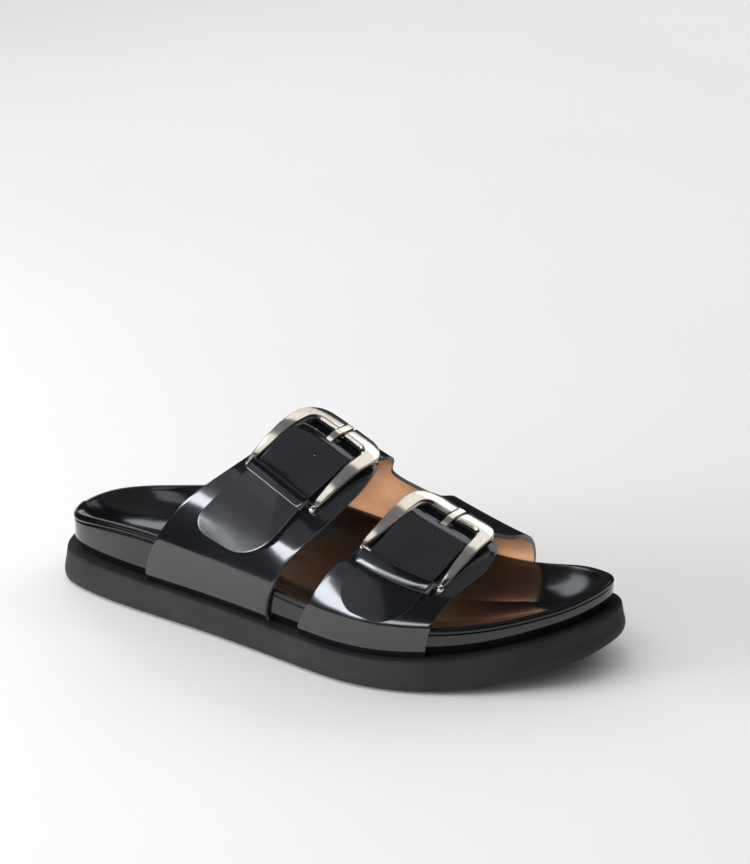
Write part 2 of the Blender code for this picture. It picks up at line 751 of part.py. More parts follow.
def prong(strap, finish, collection):
    """Prong that lies from the bar through the strap's slot onto the medial side of the frame."""
    along = np.linspace(PRONG_LIFTS[0].along, PRONG_LIFTS[-1].along, 12)
    lift = eased(PRONG_LIFTS, "height", along)
    across = PRONG_HALF_WIDTH * np.array([-1.0, 0.0, 1.0])
    points = on_strap(strap, across[None, :], along[:, None], lift[:, None])
    faces = grid_faces(len(along), len(across))
    sheet = new_part(f"prong_{strap.name}", points.reshape(-1, 3), faces, finish, collection)
    return thicken(sheet, PRONG_THICKNESS)


def keeper(strap, finish, collection):
    """Loop over the tail: a band that goes up, across and down, with round shoulders."""
    shoulder = np.radians(np.linspace(0, 90, 4))
    round_across = KEEPER_HALF - KEEPER_CORNER + KEEPER_CORNER * np.cos(shoulder)
    across = np.concatenate([[KEEPER_HALF], round_across, [KEEPER_HALF / 3]])
    across = np.concatenate([across, -across[::-1]])[:, None]
    drop = np.concatenate([[KEEPER_CORNER], KEEPER_CORNER * (1 - np.sin(shoulder)), [0.0]])
    drop = np.concatenate([drop, drop[::-1]])[:, None]
    along = strap.keeper + np.linspace(0, KEEPER_WIDTH, 3)[None, :] - strap.keeper_skew * across
    lift = eased(STRAP_LIFTS, "height", along) + STRAP_THICKNESS + KEEPER_GAP - drop
    lift[[0, -1]] = KEEPER_FOOT
    points = on_strap(strap, across, along, lift)
    faces = grid_faces(*lift.shape)
    sheet = new_part(f"keeper_{strap.name}", points.reshape(-1, 3), faces, finish, collection)
    return thicken(sheet, KEEPER_THICKNESS)


def sole_middle():
    """Point on the floor under the middle of the sole's widest outline."""
    widest = OUTLINE_POINTS + OUTLINE_OUTWARD * SOLE_FLARE
    middle = (widest.min(axis=0) + widest.max(axis=0)) / 2
    return np.append(middle, 0.0)


ORIGIN = sole_middle()


def main():
    for old in list(bpy.data.objects):
        bpy.data.objects.remove(old, do_unlink=True)
    parts = new_collection(OBJECT_NAME)
    outsole(RUBBER, parts)
    footbed(LEATHER, parts)
    insole(LEATHER, parts)
    medial_upper(LEATHER, parts)
    for strap in (REAR, FRONT):
        lateral_strap(strap, LEATHER, parts)
        keeper(strap, LEATHER, parts)
        buckle(strap, NICKEL, parts)
        prong(strap, NICKEL, parts)


if __name__ == "__main__":
    main()
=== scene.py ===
# %% [markdown]
# # A platform sandal for the right foot
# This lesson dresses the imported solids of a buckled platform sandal. Each solid gets a finer
# piece in its place: the same curves are read again on a denser grid, and the finishes of
# rubber, leather and nickel are drawn with shader nodes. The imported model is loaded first,
# because every piece is measured in its frame.

import bmesh
import bpy
import numpy as np
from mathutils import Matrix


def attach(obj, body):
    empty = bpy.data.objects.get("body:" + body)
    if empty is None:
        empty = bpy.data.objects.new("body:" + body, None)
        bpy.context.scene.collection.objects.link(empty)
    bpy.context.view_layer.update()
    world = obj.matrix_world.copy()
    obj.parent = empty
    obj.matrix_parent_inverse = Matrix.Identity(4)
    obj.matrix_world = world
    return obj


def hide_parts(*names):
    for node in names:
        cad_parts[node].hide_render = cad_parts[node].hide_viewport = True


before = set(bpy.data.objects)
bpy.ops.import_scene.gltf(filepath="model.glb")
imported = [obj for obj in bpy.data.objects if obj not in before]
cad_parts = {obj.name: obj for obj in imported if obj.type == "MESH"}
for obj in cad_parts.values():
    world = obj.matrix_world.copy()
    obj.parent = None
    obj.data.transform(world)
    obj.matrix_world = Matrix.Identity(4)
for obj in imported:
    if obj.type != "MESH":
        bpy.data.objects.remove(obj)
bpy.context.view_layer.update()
print("solids:", sorted(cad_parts))

# %% [markdown]
# ## Colours and nodes
# Colours are picked as hex values, as they look on a screen. A shader counts light, so each
# one is turned to linear light first. One helper adds any node, sets its properties and feeds
# its inputs, which keeps each finish below short enough to read as a recipe. All finishes start
# in one way: no worked surface has one colour or one polish all over, so a cloudy noise moves
# both a little, and bumps give it swell and grain.

# %% Colour and node helpers
MM = 0.001
# Most of a noise lies between these two values
NOISE_SPAN = (0.3, 0.7)


def linear(hex_colour):
    """Linear colour of an sRGB hex value: the low end is divided, the rest is raised to 2.4."""
    channels = np.array([int(hex_colour[i : i + 2], 16) for i in (1, 3, 5)]) / 255
    light = np.where(channels <= 0.04045, channels / 12.92, ((channels + 0.055) / 1.055) ** 2.4)
    return (*light.tolist(), 1.0)


def feed(tree, node, inputs):
    """Feeds the inputs of a node: each takes a value, or the socket that drives it."""
    for name, value in inputs.items():
        if isinstance(value, bpy.types.NodeSocket):
            tree.links.new(value, node.inputs[name])
        else:
            node.inputs[name].default_value = value


def add_node(tree, kind, inputs=None, stops=(), **settings):
    """Adds a node with its settings and links; stops are the places and hex colours of a ramp."""
    node = tree.nodes.new(kind)
    for name, value in settings.items():
        setattr(node, name, value)
    feed(tree, node, inputs or {})
    for number, (place, colour) in enumerate(stops):
        node.color_ramp.elements[number].position = place
        node.color_ramp.elements[number].color = linear(colour)
    return node


def new_finish(name, cloud_mm, detail, hues, polish,
               swell=None, grain=None, stretch=None, extra=None):
    """A material whose colour and roughness follow a noise of a size in millimetres, between two
    hues and two values of polish. swell: depth and strength of a bump from that noise. grain:
    size, depth and strength of one from small cells over it. stretch: scale of the patterns
    along each axis. extra: more inputs of the shader."""
    material = bpy.data.materials.new(name)
    material.use_nodes = True
    tree = material.node_tree
    place = add_node(tree, "ShaderNodeTexCoord").outputs["Object"]
    if stretch:
        drawn_out = add_node(tree, "ShaderNodeMapping", {"Vector": place, "Scale": stretch})
        place = drawn_out.outputs["Vector"]
    size = {"Vector": place, "Scale": 1 / (cloud_mm * MM), "Detail": detail}
    cloud = add_node(tree, "ShaderNodeTexNoise", size).outputs["Fac"]
    colour = add_node(tree, "ShaderNodeValToRGB", {"Fac": cloud}, stops=zip(NOISE_SPAN, hues))
    span = {"Value": cloud, "To Min": polish[0], "To Max": polish[1]}
    rough = add_node(tree, "ShaderNodeMapRange", span)
    inputs = {"Base Color": colour.outputs["Color"], "Roughness": rough.outputs["Result"]}
    bumps = [(cloud, *swell)] if swell else []
    if grain:
        size = {"Vector": place, "Scale": 1 / (grain[0] * MM)}
        cells = add_node(tree, "ShaderNodeTexVoronoi", size).outputs["Distance"]
        bumps.append((cells, *grain[1:]))
    below = {}
    for height, depth, strength in bumps:
        bump = {"Height": height, "Distance": depth * MM, "Strength": strength, **below}
        below = {"Normal": add_node(tree, "ShaderNodeBump", bump).outputs["Normal"]}
        inputs = {"Coat Normal": below["Normal"], **inputs, **below}
    feed(tree, tree.nodes["Principled BSDF"], inputs | (extra or {}))
    return material


print("middle grey of a screen in linear light:", linear("#808080")[0])

# %% [markdown]
# ## Finishes of leather
# The straps, the wrap of the footbed and the insole are calf leather with a polished resin
# film: nearly black, with reflections as clear as on lacquer. A clear coat over a dark base
# gives that film. Two bumps sit under it: a slow swell, because leather never lies quite flat
# and its highlights waver, and a fine grain that only breaks up the sharpest reflections.

# %% Polished leather
def polished_leather(name, swell_mm, swell_depth, coat_roughness, coat_ior):
    """Black film-coated calf: the eye sees a deep black with soft-edged, slightly bent lights."""
    # Real grain is about 0.2 mm; it is drawn at 0.7 mm so that it shows at this size.
    return new_finish(
        name, swell_mm, 1.5, ("#07080a", "#0e1013"), (0.14, 0.24),
        swell=(swell_depth, 1.0), grain=(0.7, 0.012, 1.0),
        extra={"IOR": 1.4, "Coat Weight": 1.0,
               "Coat Roughness": coat_roughness, "Coat IOR": coat_ior},
    )


strap_leather = polished_leather("calf_leather_polished_strap", 22.0, 0.35, 0.1, 1.7)
wrap_leather = polished_leather("calf_leather_polished_wrap", 16.0, 0.12, 0.12, 1.45)
insole_leather = polished_leather("calf_leather_polished_insole", 26.0, 0.45, 0.12, 1.36)
print("leathers:", strap_leather.name, wrap_leather.name, insole_leather.name)

# %% [markdown]
# ## Lining and cut edges
# The straps are lined with undyed tan leather, matt and lightly mottled. Where a strap is cut,
# its edge is sealed with dark edge paint, duller than the face. Its grey is partly the paint's own
# and partly a painted highlight of the rounded edges, so that a thin light line runs round every
# strap.

# %% Lining leather and edge paint
# Vegetable-tanned lining: the eye sees warm, cloudy tan without gloss. Pores of about 0.3 mm are
# drawn at 0.8 mm.
lining = new_finish(
    "lining_leather_vegetable_tanned", 9, 6.0, ("#e2a67c", "#f0bc92"), (0.5, 0.68),
    grain=(0.8, 0.03, 0.8),
)
# Sealed cut edge: satin, with faint streaks of the fibres under the paint. Its charcoal is lighter
# than the near-black edge itself: a painted highlight of the rounded edges.
edge_paint_and_highlight = new_finish(
    "edge_paint_with_painted_highlight", 0.9, 3.0, ("#3a3a3c", "#4a4a4c"), (0.3, 0.45), swell=(0.04, 0.6),
)
lined_leather = [strap_leather, lining, edge_paint_and_highlight]
print("face, lining and edge:", [finish.name for finish in lined_leather])

# %% [markdown]
# ## Rubber and nickel
# The outsole is a moulded foam rubber, matt and charcoal, with a fine pebble left by the
# mould. The buckles are cast, polished and nickel plated: a pale warm metal whose polish
# leaves faint streaks, so its roughness changes a little along them.

# %% Moulded rubber and polished nickel
# Foam rubber: charcoal and matt. The mould's pebble of about 0.25 mm is drawn at 0.6 mm; it
# softens every light.
rubber = new_finish(
    "foam_rubber_moulded", 14, 5.0, ("#1e1f20", "#292a2b"), (0.5, 0.66),
    grain=(0.6, 0.05, 0.7), extra={"IOR": 1.5, "Specular IOR Level": 0.3},
)
# Nickel plate: a pale warm mirror with faint polishing streaks, drawn out across the foot.
nickel = new_finish(
    "nickel_plate_polished", 1.2, 3.0, ("#d2ccc0", "#dcd7cc"), (0.1, 0.2),
    stretch=(1.0, 0.12, 1.0), extra={"Metallic": 1.0},
)
print("rubber and metal:", rubber.name, nickel.name)

# %% [markdown]
# ## Surfaces as grids
# Every piece below is a sheet of points: rows one way, columns the other. Quads join each
# point to its neighbours, and where a grid closes on itself the doubled points are merged, so
# that no seam or pole stays open. A finished piece rides on the sandal's one body and stands
# for the solid that it replaces. Leather and pins are sheets that modifiers make thick and round.

# %% Mesh helpers
SOLE_MIDDLE = np.array([132.52859508, -4.88379937, 0.0])
MERGE_DISTANCE = 2e-6
SHEET_SEGMENTS, SHEET_ANGLE = 3, 40
# How the quads of a grid join: an open sheet, a tube of rings, a tube closed on itself
OPEN, TUBE, LOOP = {}, {"around": True}, {"around": True, "closed": True}
# Groups of pieces, for the lights that are meant for one material alone
pieces_of = {
    group: bpy.data.collections.new(f"{group}_pieces")
    for group in ("rubber", "leather", "metal", "floor")
}


def grid_quads(rows, columns, around=False, closed=False, first=0, kept=None):
    """Corner numbers of the quads of a grid; around joins the last column to the first one, and
    closed the last row to the first one. kept is a mask of the quads that stay."""
    r = np.arange(rows if closed else rows - 1)[:, None]
    c = np.arange(columns if around else columns - 1)[None, :]
    next_r, next_c = (r + 1) % rows, (c + 1) % columns
    corners = ((r, c), (r, next_c), (next_r, next_c), (next_r, c))
    quads = np.stack([row * columns + place for row, place in corners], axis=-1) + first
    return quads[kept] if kept is not None else quads.reshape(-1, 4)


def new_piece(name, grids, finishes, node=None, group=None):
    """A smooth mesh object from grids of points in millimetres, each with how its quads join."""
    points, quads = [], []
    for grid, joins in grids:
        quads.append(grid_quads(*grid.shape[:2], first=sum(map(len, points)), **joins))
        points.append(grid.reshape(-1, 3))
    mesh = bpy.data.meshes.new(name)
    placed = (np.concatenate(points) - SOLE_MIDDLE) * MM
    mesh.from_pydata(placed.tolist(), [], np.concatenate(quads).tolist())
    joined = bmesh.new()
    joined.from_mesh(mesh)
    bmesh.ops.remove_doubles(joined, verts=joined.verts, dist=MERGE_DISTANCE)
    joined.to_mesh(mesh)
    joined.free()
    for finish in finishes:
        mesh.materials.append(finish)
    mesh.shade_smooth()
    piece = bpy.data.objects.new(name, mesh)
    bpy.context.scene.collection.objects.link(piece)
    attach(piece, "root")
    if node:
        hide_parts(node)
    if group:
        pieces_of[group].objects.link(piece)
    print(f"{name}: {len(mesh.vertices)} points, {len(mesh.polygons)} faces")
    return piece


def round_edges(piece, width, segments, angle):
    """Rounds the edges that turn by more than an angle in degrees."""
    corner = piece.modifiers.new("round_edge", "BEVEL")
    corner.width, corner.segments, corner.limit_method = width * MM, segments, "ANGLE"
    corner.angle_limit = np.radians(angle)


def rounded_sheet(piece, thickness, edge_round):
    """Gives a sheet its thickness outwards, a lining inside, an edge in edge paint with a painted
    highlight, and round corners.
    """
    wall = piece.modifiers.new("thickness", "SOLIDIFY")
    wall.thickness, wall.offset, wall.use_even_offset = thickness * MM, 1.0, True
    if len(piece.data.materials) > 1:
        wall.material_offset, wall.material_offset_rim = 1, 2
    round_edges(piece, edge_round, SHEET_SEGMENTS, SHEET_ANGLE)


print("origin of the frame in the sandal's millimetres:", SOLE_MIDDLE)

# %% [markdown]
# ## Reading smooth curves from tables
# The sandal's sizes are short tables: a place along the foot, and values there. Straight lines
# between the rows would show as kinks, so a cubic spline reads most of them. Where a spline
# could swing past its rows, as in the strap's steps through the buckle, a second reader keeps
# between the rows instead.

# %% Curve readers
def spline(knots, values, at, closed=False):
    """Cubic spline through the values: on each span a cubic whose second derivatives agree at
    the knots. An open one ends without bend, a closed one joins its start smoothly."""
    knots, values = np.asarray(knots, float), np.asarray(values, float)
    step = np.diff(knots)
    flat = values.reshape(len(knots), -1)
    rise = np.diff(flat, axis=0) / step[:, None]
    inner = np.arange(1, len(knots) - 1)
    system, right = np.eye(len(knots)), np.zeros_like(flat)
    system[inner, inner - 1], system[inner, inner + 1] = step[:-1], step[1:]
    system[inner, inner] = 2 * (step[:-1] + step[1:])
    right[inner] = 6 * np.diff(rise, axis=0)
    if closed:
        system[0, [0, 1, -2]] = 2 * (step[-1] + step[0]), step[0], step[-1]
        right[0] = 6 * (rise[0] - rise[-1])
        system[-1, 0] = -1
    bend = np.linalg.solve(system, right)
    at = np.clip(at, knots[0], knots[-1])
    i = np.clip(np.searchsorted(knots, at, side="right") - 1, 0, len(step) - 1)
    b = ((at - knots[i]) / step[i])[..., None]
    a, width = 1 - b, step[i][..., None]
    curve = ((a**3 - a) * bend[i] + (b**3 - b) * bend[i + 1]) * width**2 / 6
    return (a * flat[i] + b * flat[i + 1] + curve).reshape(np.shape(at) + values.shape[1:])


def eased(table, k, at):
    """Column k of a table along cubics with harmonic slopes, which never pass their rows."""
    knots, values = table[:, 0], table[:, k]
    step, rise = np.diff(knots), np.diff(values) / np.diff(knots)
    both, total = rise[1:] * rise[:-1], rise[1:] + rise[:-1]
    slope = np.zeros(len(knots))
    slope[1:-1] = np.where(both > 0, 2 * both / np.where(both > 0, total, 1.0), 0.0)
    at = np.clip(at, knots[0], knots[-1])
    i = np.clip(np.searchsorted(knots, at, side="right") - 1, 0, len(step) - 1)
    b = (at - knots[i]) / step[i]
    level = values[i] + (values[i + 1] - values[i]) * b**2 * (3 - 2 * b)
    return level + step[i] * b * (1 - b) * (slope[i] * (1 - b) - slope[i + 1] * b)


def column(table, k, at):
    """Column k of a table along a spline."""
    return spline(table[:, 0], table[:, k], at)


half_way = spline([0, 1, 2], [0, 1, 0], np.array(0.5))
print("spline through 0, 1, 0 at the middle of a span:", float(half_way))

# %% [markdown]
# ## Outline of the sole
# A sole is drawn from above: half widths on both sides of a middle line, joined round heel
# and toe into one closed curve. Rings of points on that curve, moved in or out, are the rows
# of every piece of the sole. Points are placed by a cosine, which crowds them where the curve
# turns most, and point k lies across the foot from point -k.

# %% Outline and rings
LENGTH, TOE_TIP_Y, HEEL_TIP_Y = 265.0, 8.8, 4.5
OUTLINE = np.array([
    (0.020, 12.9, 22.2), (0.070, 21.6, 33.1), (0.160, 28.6, 38.0), (0.280, 34.6, 37.2),
    (0.400, 41.0, 36.7), (0.520, 48.9, 39.4), (0.640, 54.3, 44.0), (0.750, 49.3, 43.1),
    (0.840, 39.1, 37.2), (0.910, 27.4, 32.7), (0.965, 14.6, 23.4),
])
RING_POINTS, DENSE_POINTS = 440, 2880
WALL_INSET, SPINE_SHRINK = 4.9, 0.72


def sole_outline():
    """Closed spline through both sides, with its outward directions, from the heel tip."""
    lateral = np.column_stack([OUTLINE[:, 0] * LENGTH, -OUTLINE[:, 1]])
    medial = np.column_stack([OUTLINE[:, 0] * LENGTH, OUTLINE[:, 2]])
    heel, toe = [[0.0, HEEL_TIP_Y]], [[LENGTH, TOE_TIP_Y]]
    corners = np.concatenate([heel, lateral, toe, medial[::-1], heel])
    knots = np.append(0.0, np.cumsum(np.sqrt(np.hypot(*np.diff(corners, axis=0).T))))
    at = np.linspace(0, knots[-1], DENSE_POINTS, endpoint=False)
    points = spline(knots, corners, at, closed=True)
    points = np.roll(points, -points[:, 0].argmin(), axis=0)
    along = np.roll(points, -1, axis=0) - np.roll(points, 1, axis=0)
    outward = np.column_stack([along[:, 1], -along[:, 0]])
    return points, outward / np.linalg.norm(outward, axis=1)[:, None]


outline_points, outline_outward = sole_outline()
toe_index = outline_points[:, 0].argmax()


def ring_places():
    """Places on the outline, as numbers between its points, at x = half length (1 - cos)."""
    x = LENGTH / 2 * (1 - np.cos(np.linspace(0, np.pi, RING_POINTS // 2 + 1)))
    lateral = np.interp(x, outline_points[: toe_index + 1, 0], np.arange(toe_index + 1))
    medial_x = np.append(outline_points[toe_index:, 0], outline_points[0, 0])[::-1]
    medial = np.interp(x[1:-1], medial_x, np.arange(toe_index, DENSE_POINTS + 1)[::-1])
    return np.concatenate([lateral, medial[::-1]])


places = ring_places()


def ring(offset):
    """Outline moved outwards by an offset, read at the ring's places."""
    moved = outline_points + outline_outward * offset
    moved = np.append(moved, moved[:1], axis=0)
    number = np.arange(DENSE_POINTS + 1)
    return np.column_stack([np.interp(places, number, moved[:, axis]) for axis in (0, 1)])


def wall_y(x, medial, offset):
    """y of the moved outline at x on one side."""
    contour = outline_points + outline_outward * offset
    side = contour[: toe_index + 1]
    if medial:
        side = np.append(contour[toe_index:], contour[:1], axis=0)[::-1]
    return np.interp(x, side[:, 0], side[:, 1])


def sole_spine():
    """Middle line that the rings close on: the mean of both sides, drawn in from the tips."""
    x = ring(-WALL_INSET)[:, 0]
    x = LENGTH / 2 + ((x + np.roll(x[::-1], 1)) / 2 - LENGTH / 2) * SPINE_SHRINK
    return np.column_stack([x, (wall_y(x, True, -WALL_INSET) + wall_y(x, False, -WALL_INSET)) / 2])


spine = sole_spine()
print("ring of", len(places), "points, widest", np.ptp(outline_points[:, 1]).round(1), "mm")

# %% [markdown]
# ## The outsole
# It is one moulded slab: tread below, a rounded lower edge, a side that swells and then draws
# in, and a ledge round the footbed. A profile of offsets and heights is carried round the
# outline. Underneath, low ribs run across the foot, so that the hidden side looks moulded too.

# %% Outsole
# Share of the length, height of the ledge, height of the hollow's floor
LEVELS = np.array([
    (0.00, 15.9, 24.5), (0.15, 15.1, 24.0), (0.30, 14.4, 25.5), (0.45, 13.7, 25.5),
    (0.60, 13.3, 22.0), (0.72, 14.3, 21.5), (0.82, 16.8, 24.0), (0.91, 21.9, 28.0),
    (1.00, 28.2, 33.5),
])
# Way up the side, offset from the outline, share of the height
SIDE = np.array([
    (0.0, -3.2, 0.0), (0.14, -0.4, 0.06), (0.22, 0.6, 0.11), (0.36, 0.9, 0.26),
    (0.68, -0.1, 0.62), (0.9, -1.05, 0.95), (0.95, -1.4, 0.985), (1.0, -2.1, 1.0),
])
TOE_SPRING, TOE_SPRING_START = 13.7, 0.7045
RIB_PITCH, RIB_DEPTH, RIB_BOW = 7.5, 1.3, 0.012
GROOVE_GAIN, GROOVE_CUT, BORDER_START, BORDER_FADE = 2.2, 0.7, 0.9, 0.05
BOTTOM_ROWS, SIDE_ROWS = 76, 34
LEDGE_SHARES = (0.97, 0.9, 0.8, 0.5, 0.0)


def ledge(x):
    """Height of the ledge on top of the outsole."""
    return column(LEVELS, 1, np.asarray(x) / LENGTH)


def sole_bottom(x):
    """Height of the tread: flat, then a parabola up to the toe."""
    start = TOE_SPRING_START * LENGTH
    return TOE_SPRING * (np.clip(x - start, 0, None) / (LENGTH - start)) ** 2


def raised(flat, height):
    """Points of a flat ring with their heights."""
    return np.concatenate([flat, np.broadcast_to(height, flat.shape[:-1])[..., None]], axis=-1)


def inward(edge, shares):
    """Rings between an edge ring and the spine, at shares of the way out."""
    return spine + (edge - spine) * np.asarray(shares)[:, None, None]


def tread(flat, shares):
    """Bottom height with grooves: a cosine across the foot, cut flat, fading out at the border."""
    wave = np.cos(2 * np.pi * (flat[..., 0] + RIB_BOW * flat[..., 1] ** 2) / RIB_PITCH)
    groove = np.clip(GROOVE_GAIN * wave - GROOVE_CUT, 0, 1)
    border = np.clip((BORDER_START - shares) / BORDER_FADE, 0, 1)[:, None]
    return sole_bottom(flat[..., 0]) + RIB_DEPTH * groove * border


bottom_shares = np.linspace(0, 1, BOTTOM_ROWS)
bottom = inward(ring(SIDE[0, 1]), bottom_shares)
side_way = np.linspace(0, 1, SIDE_ROWS)
side = np.stack([ring(offset) for offset in eased(SIDE, 1, side_way)])
low, high = sole_bottom(side[..., 0]), ledge(side[..., 0])
top = inward(ring(SIDE[-1, 1]), LEDGE_SHARES)
outsole_rows = np.concatenate([
    raised(bottom, tread(bottom, bottom_shares))[:-1],
    raised(side, low + (high - low) * eased(SIDE, 2, side_way)[:, None]),
    raised(top, ledge(top[..., 0])),
])
new_piece("outsole_moulded", [(outsole_rows, TUBE)], [rubber],
          "outsole", "rubber")

# %% [markdown]
# ## The wrapped footbed
# The footbed is a core with leather pulled over its wall. Only the wall shows, between the
# ledge and the rolled edge of the insole. At its foot the leather turns under, so the profile
# tucks in there by about two millimetres, and the wall mirrors the dark ledge in a black band.

# %% Footbed
# Share of the length, height of the rim on the lateral and on the medial side
RIMS = np.array([
    (0.00, 31.0, 31.0), (0.15, 37.2, 34.6), (0.40, 32.5, 42.6), (0.70, 27.5, 26.1),
    (0.88, 32.0, 30.8), (1.00, 40.2, 40.2),
])
SEAT_GAP, LIP_SEAM, LIP_INNER, LIP_DROP, INSOLE_THICKNESS, DISH_POWER = 0.3, 2.6, 2.8, 0.3, 1.9, 3.0
TUCK, TUCK_HEIGHT, TUCK_POWER, TUCK_ROWS = 2.3, 5.2, 1.25, 12
SEAM_DRAW, SEAM_START, WALL_ROWS = 0.3, 0.93, 19
UNDER_SHARES = (0.9, 0.77, 0.6, 0.35, 0.0)
on_lateral = np.arange(RING_POINTS) <= RING_POINTS // 2


def rim(flat):
    """Height of the rim on each side."""
    along = flat[..., 0] / LENGTH
    return np.where(on_lateral, column(RIMS, 1, along), column(RIMS, 2, along))


def dish(inset, shares, lowered):
    """Hollow of the foot: from the floor at the spine to the rim, as a power of the share."""
    edge = ring(-WALL_INSET - inset)
    floor = column(LEVELS, 2, spine[:, 0] / LENGTH)
    climb = (rim(edge) - LIP_DROP - floor) * np.asarray(shares)[:, None] ** DISH_POWER
    return raised(inward(edge, shares), floor + climb - lowered)


def tuck(height):
    """How far leather draws in at its foot: a power of the height, nearly a straight slope."""
    return TUCK * np.clip(1 - height / TUCK_HEIGHT, 0, 1) ** TUCK_POWER


wall_height = np.append(np.linspace(0, TUCK_HEIGHT, TUCK_ROWS), np.full(WALL_ROWS, TUCK_HEIGHT))
wall_way = np.append(np.zeros(TUCK_ROWS), np.linspace(0, 1, WALL_ROWS + 1)[1:])
seam = SEAM_DRAW * np.clip((wall_way - SEAM_START) / (1 - SEAM_START), 0, 1) ** 2
wall = np.stack([ring(-WALL_INSET - inset) for inset in tuck(wall_height) + seam])
seat = ledge(wall[..., 0]) + SEAT_GAP
wall_top = rim(wall) - LIP_SEAM - SEAT_GAP
tucked = seat + wall_height[:, None]
under = inward(ring(-WALL_INSET - TUCK), (0.0, 0.5))
footbed_rows = np.concatenate([
    raised(under, ledge(under[..., 0]) + SEAT_GAP),
    raised(wall, tucked + (wall_top - seat - TUCK_HEIGHT) * wall_way[:, None]),
    dish(LIP_INNER, UNDER_SHARES, INSOLE_THICKNESS + SEAT_GAP),
])
new_piece("footbed_wrap", [(footbed_rows, TUBE)], [wrap_leather], "footbed")

# %% [markdown]
# ## The insole
# The glossy top cover lies in the hollow and rolls over the rim, where it makes a soft round
# lip. A few rings give the section of lip and hollow; a spline from ring to ring then makes
# the roll smooth, with rows about half a millimetre apart.

# %% Insole
# Inset from the wall and depth under the rim, over the lip's section
LIP = np.array([(-0.15, 2.6), (-0.2, 1.4), (0.35, 0.35), (1.5, 0.0), (2.8, 0.35)])
HOLLOW_SHARES = (0.96, 0.9, 0.8, 0.68, 0.52, 0.35, 0.18, 0.0)
ROW_SPACING = 0.45


def refined(rings, spacing):
    """Rows of a spline through rings, spaced by their mean distance in millimetres."""
    gaps = np.linalg.norm(np.diff(rings, axis=0), axis=2).mean(axis=1)
    knots = np.append(0.0, np.cumsum(gaps))
    return spline(knots, rings, np.linspace(0, knots[-1], int(knots[-1] / spacing)))


lip_flat = np.stack([ring(-WALL_INSET - inset) for inset in LIP[:, 0]])
lip = raised(lip_flat, rim(lip_flat) - LIP[:, 1][:, None])
hollow = dish(LIP_INNER, HOLLOW_SHARES, 0.0)
inner = ring(-WALL_INSET - LIP_INNER)
insole_rows = np.concatenate([
    dish(LIP_INNER, UNDER_SHARES[::-1], INSOLE_THICKNESS),
    raised(inner, rim(inner) - LIP_SEAM)[None],
    refined(np.concatenate([lip, hollow]), ROW_SPACING),
])
new_piece("insole_cover", [(insole_rows, TUBE)], [insole_leather], "insole")

# %% [markdown]
# ## The last under the straps
# Straps are pulled over a last, the maker's model of a foot. Here it is a surface with two
# parameters: x along the foot, and the way round from the lateral side of the sole over the
# instep to the medial one. It goes straight up the wall and then over two quarter ellipses.

# %% Last
# Share of the length, height of the crest and its place across
CRESTS = np.array([
    (0.10, 100.0, 10.0), (0.30, 97.0, 10.0), (0.45, 88.5, 8.0), (0.60, 72.5, 5.0),
    (0.70, 60.0, 3.5), (0.82, 49.0, 0.0), (0.95, 42.0, -3.0),
])
LATERAL_RIM, TOP, MEDIAL_RIM = 0.12, 0.52, 0.88
WALL_GAP, ARCH_START, STRAP_FOOT_GAP = 0.45, 1.5, 0.4
# Place along the foot, how far the bend leads in, height that it takes
BENDS = np.array([(0.47, 1.5, 18.0), (0.57, 2.5, 14.0)])
BEND_EASE = 0.12
# Ways round between which the bend fades out before the crest and comes back after it
BEND_FADE = (0.34, 0.50, 0.56, 0.70)
STEP_X, STEP_AROUND = 0.25, 0.001


def last_point(x, around):
    """Wall: straight from ledge to rim. Above it: y by a cosine and z by a sine up to the crest,
    and a bend inwards where the strap leaves the rim: a parabola in height, none at the crest."""
    x, around = np.broadcast_arrays(np.asarray(x, float), np.asarray(around, float))
    along, lateral = x / LENGTH, around < TOP
    offset = WALL_GAP - WALL_INSET
    side_y = np.where(lateral, wall_y(x, False, offset), wall_y(x, True, offset))
    rim_z = np.where(lateral, column(RIMS, 1, along), column(RIMS, 2, along)) + ARCH_START
    foot = ledge(x) + STRAP_FOOT_GAP
    crest, crest_y = column(CRESTS, 1, along), column(CRESTS, 2, along)
    up = np.where(lateral, around / LATERAL_RIM, (1 - around) / (1 - MEDIAL_RIM))
    over = np.where(lateral, (around - LATERAL_RIM) / (TOP - LATERAL_RIM),
                    (MEDIAL_RIM - around) / (MEDIAL_RIM - TOP))
    turn = np.clip(over, 0, 1) * np.pi / 2
    y = crest_y + (side_y - crest_y) * np.cos(turn)
    z = np.where(up < 1, foot + (rim_z - foot) * up, rim_z + (crest - rim_z) * np.sin(turn))
    bend, bend_height = (np.interp(along, BENDS[:, 0], BENDS[:, k]) for k in (1, 2))
    way = np.clip((z - rim_z) / bend_height + BEND_EASE / 2, 0, 1)
    led_in = bend * way * (2 - way) * way / (way + BEND_EASE)
    fade = np.interp(around, BEND_FADE, (1.0, 0.0, 0.0, 1.0))
    y = y + np.sign(crest_y - y) * led_in * fade
    return np.stack([x, y, z], axis=-1)


def lifted(x, around, lift):
    """Point over the last: moved out along the cross product of its two directions."""
    along = last_point(x + STEP_X, around) - last_point(x - STEP_X, around)
    across = last_point(x, around + STEP_AROUND) - last_point(x, around - STEP_AROUND)
    outward = np.cross(along, across)
    outward /= np.linalg.norm(outward, axis=-1)[..., None]
    return last_point(x, around) + outward * np.asarray(lift)[..., None]


print("crest over the middle of the foot:", last_point(LENGTH / 2, TOP).round(1))

# %% [markdown]
# ## Places on a strap
# A buckle is easier to build in the strap's own measures: how far across, how far along from
# its bar, and how high over the last. The tables give the cut edges of the straps, way round
# the last by way round. Each buckle sits a little turned, which the skew adds.

